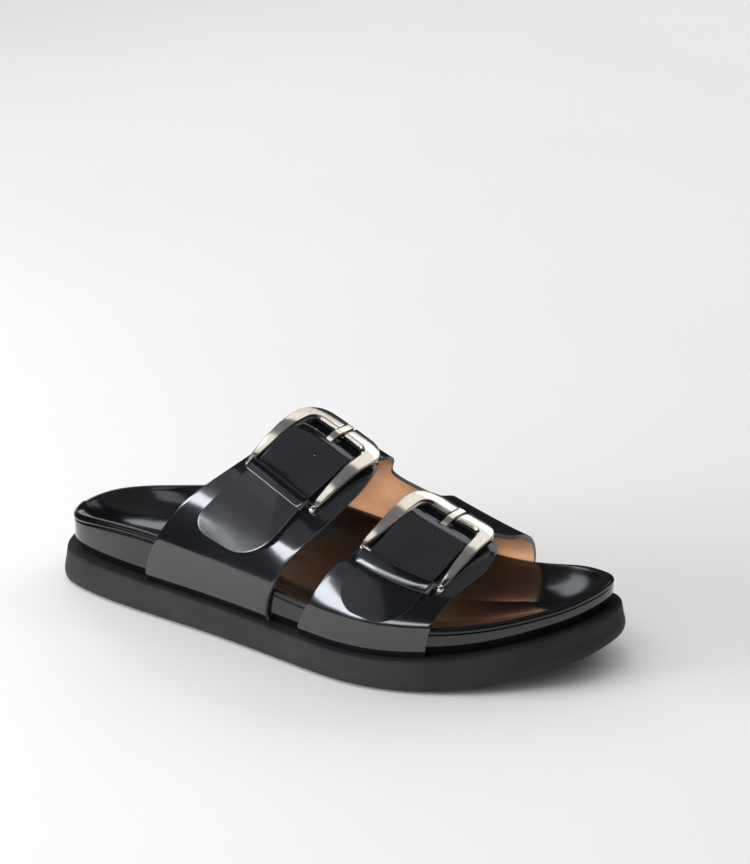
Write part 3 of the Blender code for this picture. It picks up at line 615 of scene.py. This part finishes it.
# %% Strap tables and measures
# Way round the last, x of the rear edge, x of the front edge
REAR_LATERAL = np.array([
    (0.00, 55.5, 121.5), (0.08, 60.0, 123.5), (0.15, 68.2, 128.5), (0.21, 78.4, 136.0),
    (0.27, 90.9, 144.0), (0.35, 105.3, 151.6), (0.43, 113.5, 155.6), (0.52, 118.0, 155.4),
])
FRONT_LATERAL = np.array([
    (0.00, 138.0, 196.0), (0.09, 142.4, 197.3), (0.16, 148.4, 200.2), (0.21, 153.5, 203.2),
    (0.28, 162.8, 208.2), (0.35, 170.2, 212.8), (0.43, 175.0, 214.2), (0.52, 177.5, 213.6),
])
REAR_MEDIAL = np.array([
    (0.15, 83.0, 117.0), (0.20, 90.0, 122.5), (0.26, 100.0, 130.0), (0.32, 109.8, 136.4),
    (0.42, 118.4, 144.2), (0.47, 122.0, 147.4), (0.52, 122.2, 153.6), (0.56, 120.6, 156.0),
    (0.64, 116.3, 155.0), (0.72, 107.8, 151.4), (0.81, 95.7, 150.0), (0.90, 84.5, 150.0),
    (1.00, 77.0, 150.0),
])
FRONT_MEDIAL = np.array([
    (0.13, 158.6, 188.0), (0.18, 161.2, 189.8), (0.23, 165.6, 192.0), (0.29, 170.0, 196.2),
    (0.40, 175.8, 202.2), (0.45, 178.0, 205.0), (0.50, 180.0, 209.6), (0.55, 182.0, 214.0),
    (0.63, 183.4, 217.2), (0.72, 182.6, 217.6), (0.82, 182.6, 217.4), (0.92, 182.6, 216.6),
    (1.00, 182.6, 215.6),
])
# Way round at the bar, length of the tail, reach of the lateral end, turns at bar and frame, place
# and turns of the keeper, and the edge at the notch: its column, where its curve starts, its power
REAR = dict(
    name="rear", lateral=REAR_LATERAL, medial=REAR_MEDIAL, bar=0.320, tail=35.0,
    lateral_end=40.0, bar_skew=0.12, frame_skew=0.12,
    keeper=-2.8, keeper_skew=0.05, keeper_roll=0.4, notch=(2, 0.715, 2.6),
)
FRONT = dict(
    name="front", lateral=FRONT_LATERAL, medial=FRONT_MEDIAL, bar=0.272, tail=22.4,
    lateral_end=38.5, bar_skew=0.18, frame_skew=0.03,
    keeper=-5.2, keeper_skew=-0.035, keeper_roll=1.8, notch=(1, 0.68, 2.0),
)
RULER_START, RULER_STEPS = 0.02, 400
FRAME_MEDIAL, SKEW_END = 36.6, 56.0


def strap_middle(strap, around):
    """x half way between the two cut edges."""
    return (column(strap["medial"], 1, around) + column(strap["medial"], 2, around)) / 2


def strap_ruler(strap):
    """Ways round the last along a strap's middle line, with their distances from the bar."""
    around = np.linspace(RULER_START, MEDIAL_RIM, RULER_STEPS)
    middle = last_point(strap_middle(strap, around), around)
    length = np.append(0.0, np.cumsum(np.linalg.norm(np.diff(middle, axis=0), axis=1)))
    return around, length - np.interp(strap["bar"], around, length)


def along_strap(strap, along):
    """Way round the last at a distance along the strap."""
    around, length = strap_ruler(strap)
    return np.interp(along, length, around)


def skewed(strap, across, along):
    """Way round the last with the buckle's turn, which fades out past the frame."""
    turns = (strap["bar_skew"], strap["frame_skew"], 0.0)
    skew = np.interp(along, (0.0, FRAME_MEDIAL, SKEW_END), turns)
    return along_strap(strap, along - skew * across)


def reach_across(x, around):
    """Length over the last of one millimetre of x."""
    return np.linalg.norm(last_point(x + 1, around) - last_point(x - 1, around), axis=-1) / 2


def on_strap(strap, across, along, lift):
    """Point at a distance across and along a strap, at a height over the last."""
    across, along, lift = (
        values.astype(float) for values in np.broadcast_arrays(across, along, lift)
    )
    around = along_strap(strap, along)
    middle = strap_middle(strap, around)
    x = middle + across / reach_across(middle, around)
    return lifted(x, skewed(strap, across, along), lift)


for strap in (REAR, FRONT):
    print(strap["name"], "bar lies at", on_strap(strap, 0.0, 0.0, 0.0).round(1), "mm")

# %% [markdown]
# ## Lateral straps
# A lateral strap starts at the ledge, climbs the wall and ends in a rounded tongue under its
# buckle. It is one sheet between two cut edges. Solidify gives it the thickness of leather
# with its lining, with the lining's colour inside, and Bevel rounds the cut edges.

# %% Lateral straps
STRAP_THICKNESS, STRAP_EDGE, LATERAL_CORNER, LATERAL_COLUMNS = 1.8, 0.5, 8.0, 44


def corner_inset(distance, radius):
    """How far a round corner draws an edge in: radius minus the chord of a circle."""
    short = radius - np.clip(distance, 0, radius)
    return radius - np.sqrt(radius**2 - short**2)


def between(rear, front, shares):
    """Rows of x between two edges."""
    return rear[:, None] + (front - rear)[:, None] * np.asarray(shares)[None, :]


def lateral_strap(strap):
    """Sheet of points on the last between the two cut edges, with round corners at the end."""
    end = along_strap(strap, strap["lateral_end"])
    start_round = along_strap(strap, strap["lateral_end"] - LATERAL_CORNER)
    rounding = 1 - np.linspace(1, 0, 14)[1:] ** 2
    around = np.concatenate([
        np.linspace(0, LATERAL_RIM, 34),
        np.linspace(LATERAL_RIM, start_round, 64)[1:],
        start_round + (end - start_round) * rounding,
    ])
    ways, lengths = strap_ruler(strap)
    inset = corner_inset(strap["lateral_end"] - np.interp(around, ways, lengths), LATERAL_CORNER)
    rear, front = (column(strap["lateral"], k, around) for k in (1, 2))
    x = between(rear + inset, front - inset, np.linspace(0, 1, LATERAL_COLUMNS))
    around = np.broadcast_to(around[:, None], x.shape)
    return lifted(x, around, -tuck(last_point(x, around)[..., 2] - ledge(x)))


for strap in (REAR, FRONT):
    node = f"strap_{strap['name']}_lateral"
    piece = new_piece(f"{node}_leather", [(lateral_strap(strap), OPEN)], lined_leather,
                      node, "leather")
    rounded_sheet(piece, STRAP_THICKNESS, STRAP_EDGE)

# %% [markdown]
# ## The medial piece
# On the medial side one wall of leather splits at a rounded notch into two straps. Each strap
# goes under its buckle's frame, up over the bar and down again to a tail, and the prong comes
# up through a slot. A table of lifts gives that way through the buckle. Inside the frame the
# strap is crowned: it bulges along its middle, because the prong pushes it up.

# %% Medial piece
# Distance along the strap from the bar, height of its inside over the last
STRAP_LIFTS = np.array([
    (-45.0, 8.2), (-35.0, 6.0), (-28.0, 4.9), (-21.0, 4.1), (-14.0, 3.7), (-7.0, 3.9),
    (0.0, 4.6), (6.0, 5.1), (15.0, 5.8), (21.5, 6.0), (25.5, 5.2), (29.0, 2.9), (31.5, 2.2),
    (42.0, 2.2), (46.5, 1.0), (53.0, 0.0),
])
NOTCH_X, NOTCH_BOTTOM, NOTCH_TOP, NOTCH_CROWDING = 166.5, 0.742, 0.672, 1.6
TAIL_CORNERS, TAIL_TIP = (9.0, 14.0), 10
PRONG_SLOT, SLOT_SHARE = (25.0, 31.5), 0.075
CROWN, CROWN_PLACES = 1.1, (4.0, 15.0, 23.0, 30.0)
TINY = 1e-6


def notch_edge(strap, around):
    """x of the notch's side: along the strap, then a superellipse down to the notch's middle."""
    k, start, power = strap["notch"]
    depth = np.clip((around - start) / (NOTCH_BOTTOM - start), 0, 1)
    edge = column(strap["medial"], k, np.minimum(around, start))
    return NOTCH_X + (edge - NOTCH_X) * (1 - depth**power) ** (1 / power)


def medial_rows(strap):
    """Ways round for the rows, close together at the tip, through the buckle and at the notch."""
    along = np.concatenate([
        TAIL_TIP * np.linspace(0, 1, 16) ** 2 - strap["tail"],
        np.linspace(TAIL_TIP - strap["tail"], PRONG_SLOT[0], 46)[1:],
        np.linspace(*PRONG_SLOT, 17)[1:],
        np.linspace(PRONG_SLOT[1], SKEW_END, 30)[1:],
    ])
    first = along_strap(strap, along[-1])
    down = np.concatenate([
        np.linspace(first, NOTCH_TOP, 12)[1:],
        NOTCH_BOTTOM - (NOTCH_BOTTOM - NOTCH_TOP) * np.linspace(1, 0, 14)[1:] ** NOTCH_CROWDING,
        np.linspace(NOTCH_BOTTOM, MEDIAL_RIM, 24)[1:],
        np.linspace(MEDIAL_RIM, 1.0, 12)[1:],
    ])
    return np.concatenate([along_strap(strap, along), down]), along


def medial_half(strap):
    """Sheet of one strap and its half of the wall, and a mask of quads that keeps the slot open."""
    around, along = medial_rows(strap)
    beyond = np.arange(len(around)) >= len(along)
    rear, front = (
        np.where(beyond & (k == strap["notch"][0]), notch_edge(strap, around),
                 column(strap["medial"], k, around))
        for k in (1, 2)
    )
    ways, lengths = strap_ruler(strap)
    place = np.interp(around, ways, lengths)
    insets = [corner_inset(place + strap["tail"], radius) for radius in TAIL_CORNERS]
    slot_rear, slot_front = 0.5 - SLOT_SHARE, 0.5 + SLOT_SHARE
    shares = np.concatenate([
        np.linspace(0, slot_rear, 20),
        np.linspace(slot_rear, slot_front, 5)[1:-1],
        np.linspace(slot_front, 1, 20),
    ])
    x = between(rear + insets[0], front - insets[1], shares)
    middle = ((rear + front) / 2)[:, None]
    across = (x - middle) * reach_across(middle, around[:, None])
    turned = skewed(strap, across, np.broadcast_to(place[:, None], x.shape))
    arch = np.interp(place, CROWN_PLACES, (0.0, 1.0, 1.0, 0.0))[:, None]
    lift = np.where(beyond, 0.0, eased(STRAP_LIFTS, 1, place))[:, None]
    lift = lift - CROWN * arch * (2 * shares - 1) ** 2
    turned = np.where(beyond[:, None], around[:, None], turned)
    points = lifted(x, turned, lift - tuck(last_point(x, turned)[..., 2] - ledge(x)))
    in_slot = np.zeros(len(around) - 1, bool)
    row_start = along[:-1] + TINY
    in_slot[: len(along) - 1] = (row_start >= PRONG_SLOT[0]) & (row_start < PRONG_SLOT[1])
    open_column = np.abs((shares[:-1] + shares[1:]) / 2 - 0.5) < SLOT_SHARE
    return points, {"kept": ~(in_slot[:, None] & open_column[None, :])}


upper = new_piece("upper_medial_leather", [medial_half(REAR), medial_half(FRONT)], lined_leather,
                  "upper_medial", "leather")
rounded_sheet(upper, STRAP_THICKNESS, STRAP_EDGE)

# %% [markdown]
# ## Keepers
# A keeper is the narrow leather loop that holds the tail down. Its path goes up beside the
# strap, round a tight shoulder and flat across, and a short strip is carried along it.

# %% Keepers
KEEPER_WIDTH, KEEPER_HALF, KEEPER_GAP, KEEPER_FOOT = 4.7, 14.9, 0.6, 4.0
KEEPER_CORNER, KEEPER_BULGE, KEEPER_THICKNESS, KEEPER_EDGE = 1.2, 0.25, 1.3, 0.32


def keeper_sheet(strap):
    """Strip across the strap: foot, quarter circle, flat top with a slight bulge, down again."""
    shoulder = np.radians(np.linspace(0, 90, 12))
    flat_half = KEEPER_HALF - KEEPER_CORNER
    half = np.concatenate([
        [KEEPER_HALF],
        flat_half + KEEPER_CORNER * np.cos(shoulder),
        np.linspace(flat_half, 0, 24)[1:],
    ])
    down = np.concatenate([[KEEPER_CORNER], KEEPER_CORNER * (1 - np.sin(shoulder)), np.zeros(23)])
    across = np.concatenate([half, -half[-2::-1]])[:, None]
    drop = np.concatenate([down, down[-2::-1]])[:, None]
    way = np.linspace(0, 1, 13)[None, :]
    along = strap["keeper"] + KEEPER_WIDTH * way - strap["keeper_skew"] * across
    bulge = KEEPER_BULGE * (1 - (2 * way - 1) ** 2)
    lift = eased(STRAP_LIFTS, 1, along) + STRAP_THICKNESS + KEEPER_GAP
    lift = lift - drop + bulge + strap["keeper_roll"] * way
    lift[[0, -1]] = KEEPER_FOOT
    return on_strap(strap, across, along, lift)


for strap in (REAR, FRONT):
    node = f"keeper_{strap['name']}"
    piece = new_piece(f"{node}_loop", [(keeper_sheet(strap), OPEN)], lined_leather,
                      node)
    rounded_sheet(piece, KEEPER_THICKNESS, KEEPER_EDGE)

# %% [markdown]
# ## Buckles
# A buckle is one cast loop: a thin bar at the lateral end, and arms that widen to a broad
# medial side with a notch for the prong. Its section is a face with a step along the outer
# rim. The section is carried round the loop's path, and a small ball caps each end of the bar.

# %% Buckles
FRAME_ARM, FRAME_CORNER, BAR_CORNER = 17.6, 7.6, 2.2
# Place along the strap, half width inwards and outwards, thickness, height over the last
ARMS = np.array([
    (-1.0, 1.1, 1.2, 2.0, 2.1), (4.0, 1.8, 1.7, 2.6, 2.5), (10.0, 2.7, 2.0, 2.9, 2.9),
    (14.0, 3.1, 2.2, 3.1, 3.1), (24.0, 3.8, 2.7, 3.5, 3.9), (36.6, 4.5, 3.1, 3.7, 4.6),
])
BAR_HALF_WIDTH, BAR_THICKNESS = 1.0, 1.9
NOTCH_DEPTH, NOTCH_HALF, NOTCH_SLOPE, NOTCH_FLOOR = 1.4, 2.1, 0.2, 0.7
# Shares of the half width, from the inside out, and of the thickness
SECTION = np.array([
    (-0.8, 0.0), (0.8, 0.0), (1.0, 0.22), (1.0, 0.66), (0.93, 0.86), (0.86, 0.9), (0.8, 0.84),
    (0.74, 1.0), (-0.7, 1.0), (-0.96, 0.72), (-1.0, 0.25),
])
# Radius of the ball at the rear and at the front end of the bar, and where the balls sit
BALLS = {-1: 1.05, 1: 1.9}
BALL_OUT, BALL_ALONG, BALL_LIFT = 0.2, -0.4, 3.3
BUCKLE_EDGE, BUCKLE_SEGMENTS, BUCKLE_ANGLE = 0.16, 2, 28


def arc(across, along, radius, start, steps):
    """Quarter circle of the path: places and outward directions."""
    turn = np.radians(np.linspace(start, start + 90, steps))
    way = np.column_stack([np.cos(turn), np.sin(turn)])
    return np.column_stack([(across, along) + radius * way, way])


def straight(start, end, outward, steps):
    """Straight piece of the path, without its ends."""
    places = np.linspace(start, end, steps + 2)[1:-1]
    return np.column_stack([places, np.broadcast_to(outward, (steps, 2))])


def frame_path():
    """Closed loop of the frame: front arm, medial side, rear arm and bar."""
    inner, bar = FRAME_ARM - FRAME_CORNER, FRAME_ARM - BAR_CORNER
    side, medial = FRAME_MEDIAL - FRAME_CORNER, FRAME_MEDIAL
    low, high = NOTCH_HALF - NOTCH_SLOPE, NOTCH_HALF + NOTCH_SLOPE
    notch_places = (high, low, NOTCH_FLOOR, -NOTCH_FLOOR, -low, -high)
    return np.concatenate([
        arc(inner, side, FRAME_CORNER, 0, 28),
        straight((inner, medial), (high, medial), (0, 1), 10),
        [(place, medial, 0.0, 1.0) for place in notch_places],
        straight((-high, medial), (-inner, medial), (0, 1), 10),
        arc(-inner, side, FRAME_CORNER, 90, 28),
        straight((-FRAME_ARM, side), (-FRAME_ARM, BAR_CORNER), (-1, 0), 26),
        arc(-bar, BAR_CORNER, BAR_CORNER, 180, 12),
        straight((-bar, 0), (bar, 0), (0, -1), 20),
        arc(bar, BAR_CORNER, BAR_CORNER, 270, 12),
        straight((FRAME_ARM, BAR_CORNER), (FRAME_ARM, side), (1, 0), 26),
    ])


def buckle_points(strap):
    """Section carried round the path; its width, thickness and height follow the table of arms."""
    across, along, out_across, out_along = frame_path().T
    on_bar = np.clip(1 - along / BAR_CORNER, 0, 1) ** 2
    half = np.where(SECTION[:, :1] < 0, eased(ARMS, 1, along), eased(ARMS, 2, along))
    half = half * (1 - on_bar) + BAR_HALF_WIDTH * on_bar
    thick = eased(ARMS, 3, along) * (1 - on_bar) + BAR_THICKNESS * on_bar
    in_notch = (along > FRAME_MEDIAL - TINY) & (np.abs(across) < NOTCH_HALF)
    lift = eased(ARMS, 4, along) + (thick - NOTCH_DEPTH * in_notch) * SECTION[:, 1:]
    out = SECTION[:, :1] * half
    return on_strap(strap, across + out_across * out, along + out_along * out, lift)


def ball_points(centre, radius, rows=13, columns=24):
    """Sphere: height by a cosine from pole to pole, circles by cosine and sine."""
    down = np.linspace(0, np.pi, rows)[:, None]
    turn = np.linspace(0, 2 * np.pi, columns, endpoint=False)[None, :]
    x, y = np.sin(down) * np.cos(turn), -np.sin(down) * np.sin(turn)
    return centre + radius * np.stack(np.broadcast_arrays(x, y, np.cos(down)), axis=-1)


for strap in (REAR, FRONT):
    grids = [(buckle_points(strap), LOOP)]
    for end, radius in BALLS.items():
        centre = on_strap(strap, end * (FRAME_ARM + BALL_OUT), BALL_ALONG, BALL_LIFT)
        grids.append((ball_points(centre, radius), TUBE))
    node = f"buckle_{strap['name']}"
    piece = new_piece(f"{node}_frame", grids, [nickel], node, "metal")
    round_edges(piece, BUCKLE_EDGE, BUCKLE_SEGMENTS, BUCKLE_ANGLE)

# %% [markdown]
# ## Prongs
# The prong is a flat pin. It starts at the bar under the strap, comes up through the slot and
# rests in the notch of the frame. It is a strip along the strap with its own table of lifts,
# given thickness and rounded edges.

# %% Prongs
# Distance along the strap from the bar, height of the prong's underside over the last
PRONG_LIFTS = np.array([
    (1.8, 2.2), (11.0, 2.8), (20.5, 3.2), (25.0, 3.6), (28.0, 5.6), (31.5, 7.05), (38.4, 7.25),
])
PRONG_HALF_WIDTH, PRONG_THICKNESS, PRONG_EDGE = 1.5, 1.5, 0.3

prong_along = np.linspace(PRONG_LIFTS[0, 0], PRONG_LIFTS[-1, 0], 60)[:, None]
prong_across = PRONG_HALF_WIDTH * np.linspace(-1, 1, 9)[None, :]
prong_lift = eased(PRONG_LIFTS, 1, prong_along)
for strap in (REAR, FRONT):
    sheet = on_strap(strap, prong_across, prong_along, prong_lift)
    node = f"prong_{strap['name']}"
    piece = new_piece(f"{node}_pin", [(sheet, OPEN)], [nickel], node, "metal")
    rounded_sheet(piece, PRONG_THICKNESS, PRONG_EDGE)

# %% [markdown]
# ## Spare holes
# A strap has spare holes for the prong. A punched hole shows as a small round lip that catches
# the light, with a dip inside. At this size a ring on the strap is enough, so nothing is cut:
# circles of changing radius go over the lip, and the last one closes the dip.

# %% Spare holes
HOLE_RADIUS, HOLE_LIP, HOLE_RISE, HOLE_POINTS = 0.72, 0.25, 0.16, 32
# Lips outwards from the hole's radius, and height; the last radius is the middle of the hole
HOLE_PROFILE = np.array([
    (1.6, -0.12), (1.0, 0.14), (0.3, 0.22), (-0.3, 0.12), (-0.7, -0.1), (-1.0, -0.12),
    (-1.3, -0.12), (-HOLE_RADIUS / HOLE_LIP, -0.12),
])
# Strap, and place of its hole across and along it
HOLES = ((REAR, 2.8, 17.0), (FRONT, -0.6, 20.6))


def hole_points(strap, across, along):
    """Rows from the strap over the lip and down into the hole, as circles of changing radius."""
    radius = HOLE_RADIUS + HOLE_LIP * HOLE_PROFILE[:, :1]
    turn = np.linspace(0, 2 * np.pi, HOLE_POINTS, endpoint=False)[None, :]
    a, b = across + radius * np.cos(turn), along - radius * np.sin(turn)
    face = eased(STRAP_LIFTS, 1, b) + STRAP_THICKNESS
    return on_strap(strap, a, b, face + HOLE_PROFILE[:, 1:] + HOLE_RISE)


for strap, across, along in HOLES:
    circles = hole_points(strap, across, along)
    new_piece(f"strap_hole_{strap['name']}", [(circles, TUBE)], [strap_leather])

# %% [markdown]
# ## The floor
# The sandal stands on a white painted board that curves up far away, so no corner of a room
# shows. It is wide, because polished leather mirrors much more floor than the camera sees.

# %% Floor
SWEEP_FLAT, SWEEP_ROUND, SWEEP_HALF, SWEEP_POINTS = 2.6, 0.7, 3.3, 121
# Share of the circle's radius at which the rise ends, just before it is upright
SWEEP_END = 0.98


def sweep_points():
    """Square sheet, flat round the sandal; beyond a radius it rises along a circle."""
    axis = np.linspace(-SWEEP_HALF, SWEEP_HALF, SWEEP_POINTS)
    y, x = np.meshgrid(axis, axis, indexing="ij")
    beyond = np.clip(np.hypot(x, y) - SWEEP_FLAT, 0, SWEEP_END * SWEEP_ROUND)
    return np.stack([x, y, SWEEP_ROUND - np.sqrt(SWEEP_ROUND**2 - beyond**2)], axis=-1)


def studio_sheet(name, grid, finish, mirrored_only=False):
    """A sheet of the studio from a grid of points in metres, which may show in mirrors alone."""
    mesh = bpy.data.meshes.new(name)
    mesh.from_pydata(grid.reshape(-1, 3).tolist(), [], grid_quads(*grid.shape[:2]).tolist())
    mesh.materials.append(finish)
    sheet = bpy.data.objects.new(name, mesh)
    sheet.visible_camera = sheet.visible_shadow = sheet.visible_diffuse = not mirrored_only
    bpy.context.scene.collection.objects.link(sheet)
    return sheet


# Painted board: matt white, with faint cloudiness of the paint.
board = new_finish(
    "board_painted_white", 400, 2.0, ("#e4e4e5", "#e7e7e8"), (0.7, 0.7),
    extra={"Specular IOR Level": 0.2},
)
sweep = studio_sheet("floor_sweep", sweep_points(), board)
sweep.data.shade_smooth()
for group in ("floor", "rubber"):
    pieces_of[group].objects.link(sweep)
print("floor faces up:", sweep.data.polygons[0].normal.z > 0)

# %% [markdown]
# ## The lights
# Glossy black is drawn by what it mirrors. Long low lights beside the camera make the bright
# bands on the straps, and wide dim ones the sheen above them. Fills light matt surfaces, and no
# mirror shows them. Some lights reach one group of pieces alone: a dark matt rubber and a lining
# in shade need more light than the polished leather beside them could bear.

# %% Lights
DAYLIGHT, WHITE = "#f1f6ff", "#fffdfb"
SANDAL = np.array([0.0, 0.0, 0.04])
# Name; azimuth from the camera's side, elevation and distance; width and height; brightness; and
# the group of pieces that the light reaches, where it doesn't reach all
LIGHTS = (
    ("light_front_left", (-38, 6.6, 1.35), (1.25, 0.19), 10.0),
    ("light_front", (2, 6.6, 1.35), (0.75, 0.19), 5.0),
    ("light_left_low", (-58, 13.5, 1.4), (0.75, 0.12), 2.2),
    ("light_left_wide", (-56, 25, 1.5), (0.95, 0.7), 0.4),
    ("light_front_wide", (-19, 25, 1.5), (0.9, 0.7), 0.27),
    ("light_left", (-70, 57, 1.4), (0.4, 0.3), 1.6),
    ("light_back_left", (-138, 33, 1.6), (0.55, 0.3), 2.1),
    ("light_back", (160, 42, 1.5), (0.7, 0.5), 1.0),
    ("light_ceiling", (0, 90, 2.0), (2.6, 2.6), 0.2),
)
FILLS = (
    ("fill_room", (0, 90, 3.2), (6.0, 6.0), 0.3),
    ("fill_overhead", (-50, 66, 1.9), (1.7, 1.7), 1.72),
    ("fill_front", (5, 40, 1.6), (0.6, 0.6), 1.5),
    ("fill_rubber", (-60, 12, 1.45), (0.8, 0.3), 28.0, "rubber"),
    ("fill_lining", (24, 30, 1.6), (0.5, 0.5), 29.0, "leather"),
)
FAR_FLOOR, FAR_SIZE, FAR_BRIGHTNESS = np.array([0.0, 2.5, 1.9]), (6.0, 2.4), 1.55
METAL_LIGHTS = (
    ("light_metal_back", (165, 55, 1.5), (1.7, 1.2), 1.0, "metal"),
    ("light_metal_front", (-30, 60, 1.5), (1.2, 0.8), 1.0, "metal"),
)


def towards(azimuth, elevation, distance):
    """Place round the sandal: the distance times cosines and sines of the two angles."""
    turn, up = np.radians(azimuth), np.radians(elevation)
    return distance * np.array([np.cos(up) * np.sin(turn), -np.cos(up) * np.cos(turn), np.sin(up)])


def aim(thing, place, target):
    """Puts a lamp or camera at a place in the scene, with its back straight away from a target."""
    back = (place - target) / np.linalg.norm(place - target)
    thing.location = place
    thing.rotation_euler = (np.arccos(back[2]), 0.0, np.arctan2(back[0], -back[1]))
    bpy.context.scene.collection.objects.link(thing)
    return back


def soft_light(name, place, target, size, radiance, colour, mirrored, group=None):
    """Area light of a given brightness: its power is brightness times area times pi. It reaches
    all pieces or one group of them."""
    light = bpy.data.lights.new(name, "AREA")
    light.shape, light.size, light.size_y = "RECTANGLE", *size
    light.energy = radiance * size[0] * size[1] * np.pi
    light.color = linear(colour)[:3]
    lamp = bpy.data.objects.new(name, light)
    lamp.visible_camera, lamp.visible_glossy = False, mirrored
    if group:
        lamp.light_linking.receiver_collection = pieces_of[group]
    aim(lamp, place, target)


def hang(lights, colour, mirrored):
    """Hangs each light of a table, turned to the sandal."""
    for name, way, size, radiance, *group in lights:
        soft_light(name, towards(*way), SANDAL, size, radiance, colour, mirrored, *group)


hang(LIGHTS, DAYLIGHT, mirrored=True)
hang(FILLS, WHITE, mirrored=False)
below = FAR_FLOOR * (1, 1, 0)
soft_light("fill_floor", FAR_FLOOR, below, FAR_SIZE, FAR_BRIGHTNESS, WHITE, False, "floor")
hang(METAL_LIGHTS, WHITE, mirrored=True)
print("lamps:", len(bpy.data.lights))

# %% [markdown]
# ## Flags and the dim room
# A photographer stands black card, called a flag, beside a polished thing to keep the bright
# floor out of its walls. Here a low flag runs round the front, and one stands behind the medial
# strap. Mirrors alone show them. The room itself is almost dark, and colours are shown plainly.

# %% Flags and world
# Corners of each flag along the floor in metres, and its height there
FLAGS = {
    "black_flag_front": np.array([
        (-0.40, 0.26, 0.055), (-0.275, 0.11, 0.055), (-0.115, -0.135, 0.056),
        (-0.092, -0.171, 0.036), (-0.052, -0.232, 0.036), (0.24, -0.112, 0.034),
        (0.42, -0.04, 0.034),
    ]),
    "black_flag_back": np.array([(-0.05, 0.13, 0.12), (0.33, 0.15, 0.12)]),
}
for name, top_edge in FLAGS.items():
    studio_sheet(name, np.stack([top_edge * (1, 1, 0), top_edge]), rubber, mirrored_only=True)
    print(name, "has", len(top_edge), "corners")

world = bpy.data.worlds.new("studio_dim")
world.use_nodes = True
background = world.node_tree.nodes["Background"]
feed(world.node_tree, background, {"Color": linear("#f4f6fa"), "Strength": 0.03})
bpy.context.scene.world = world
bpy.context.scene.view_settings.view_transform = "Standard"

# %% [markdown]
# ## The camera
# Place, target and focal length were fitted to the outlines of the sandal, so that the model
# covers the same pixels. The focal length in pixels becomes millimetres on a sensor whose longer
# side is the height of the upright picture.

# %% Camera
CAMERA_PLACE = np.array([0.30542, -0.67745, 0.39461])
CAMERA_TARGET = np.array([-0.04458, 0.16670, 0.020])
FOCAL_PIXELS, IMAGE_HEIGHT, SENSOR = 1876.83, 864, 36.0
camera_data = bpy.data.cameras.new("camera")
camera_data.lens = FOCAL_PIXELS / IMAGE_HEIGHT * SENSOR
camera_data.sensor_width = SENSOR
camera = bpy.data.objects.new("camera", camera_data)
camera_back = aim(camera, CAMERA_PLACE, CAMERA_TARGET)
bpy.context.scene.camera = camera
looking_down = float(np.degrees(np.arcsin(camera_back[2])))
print(f"lens {camera_data.lens:.1f} mm, looking down by {looking_down:.1f} degrees")
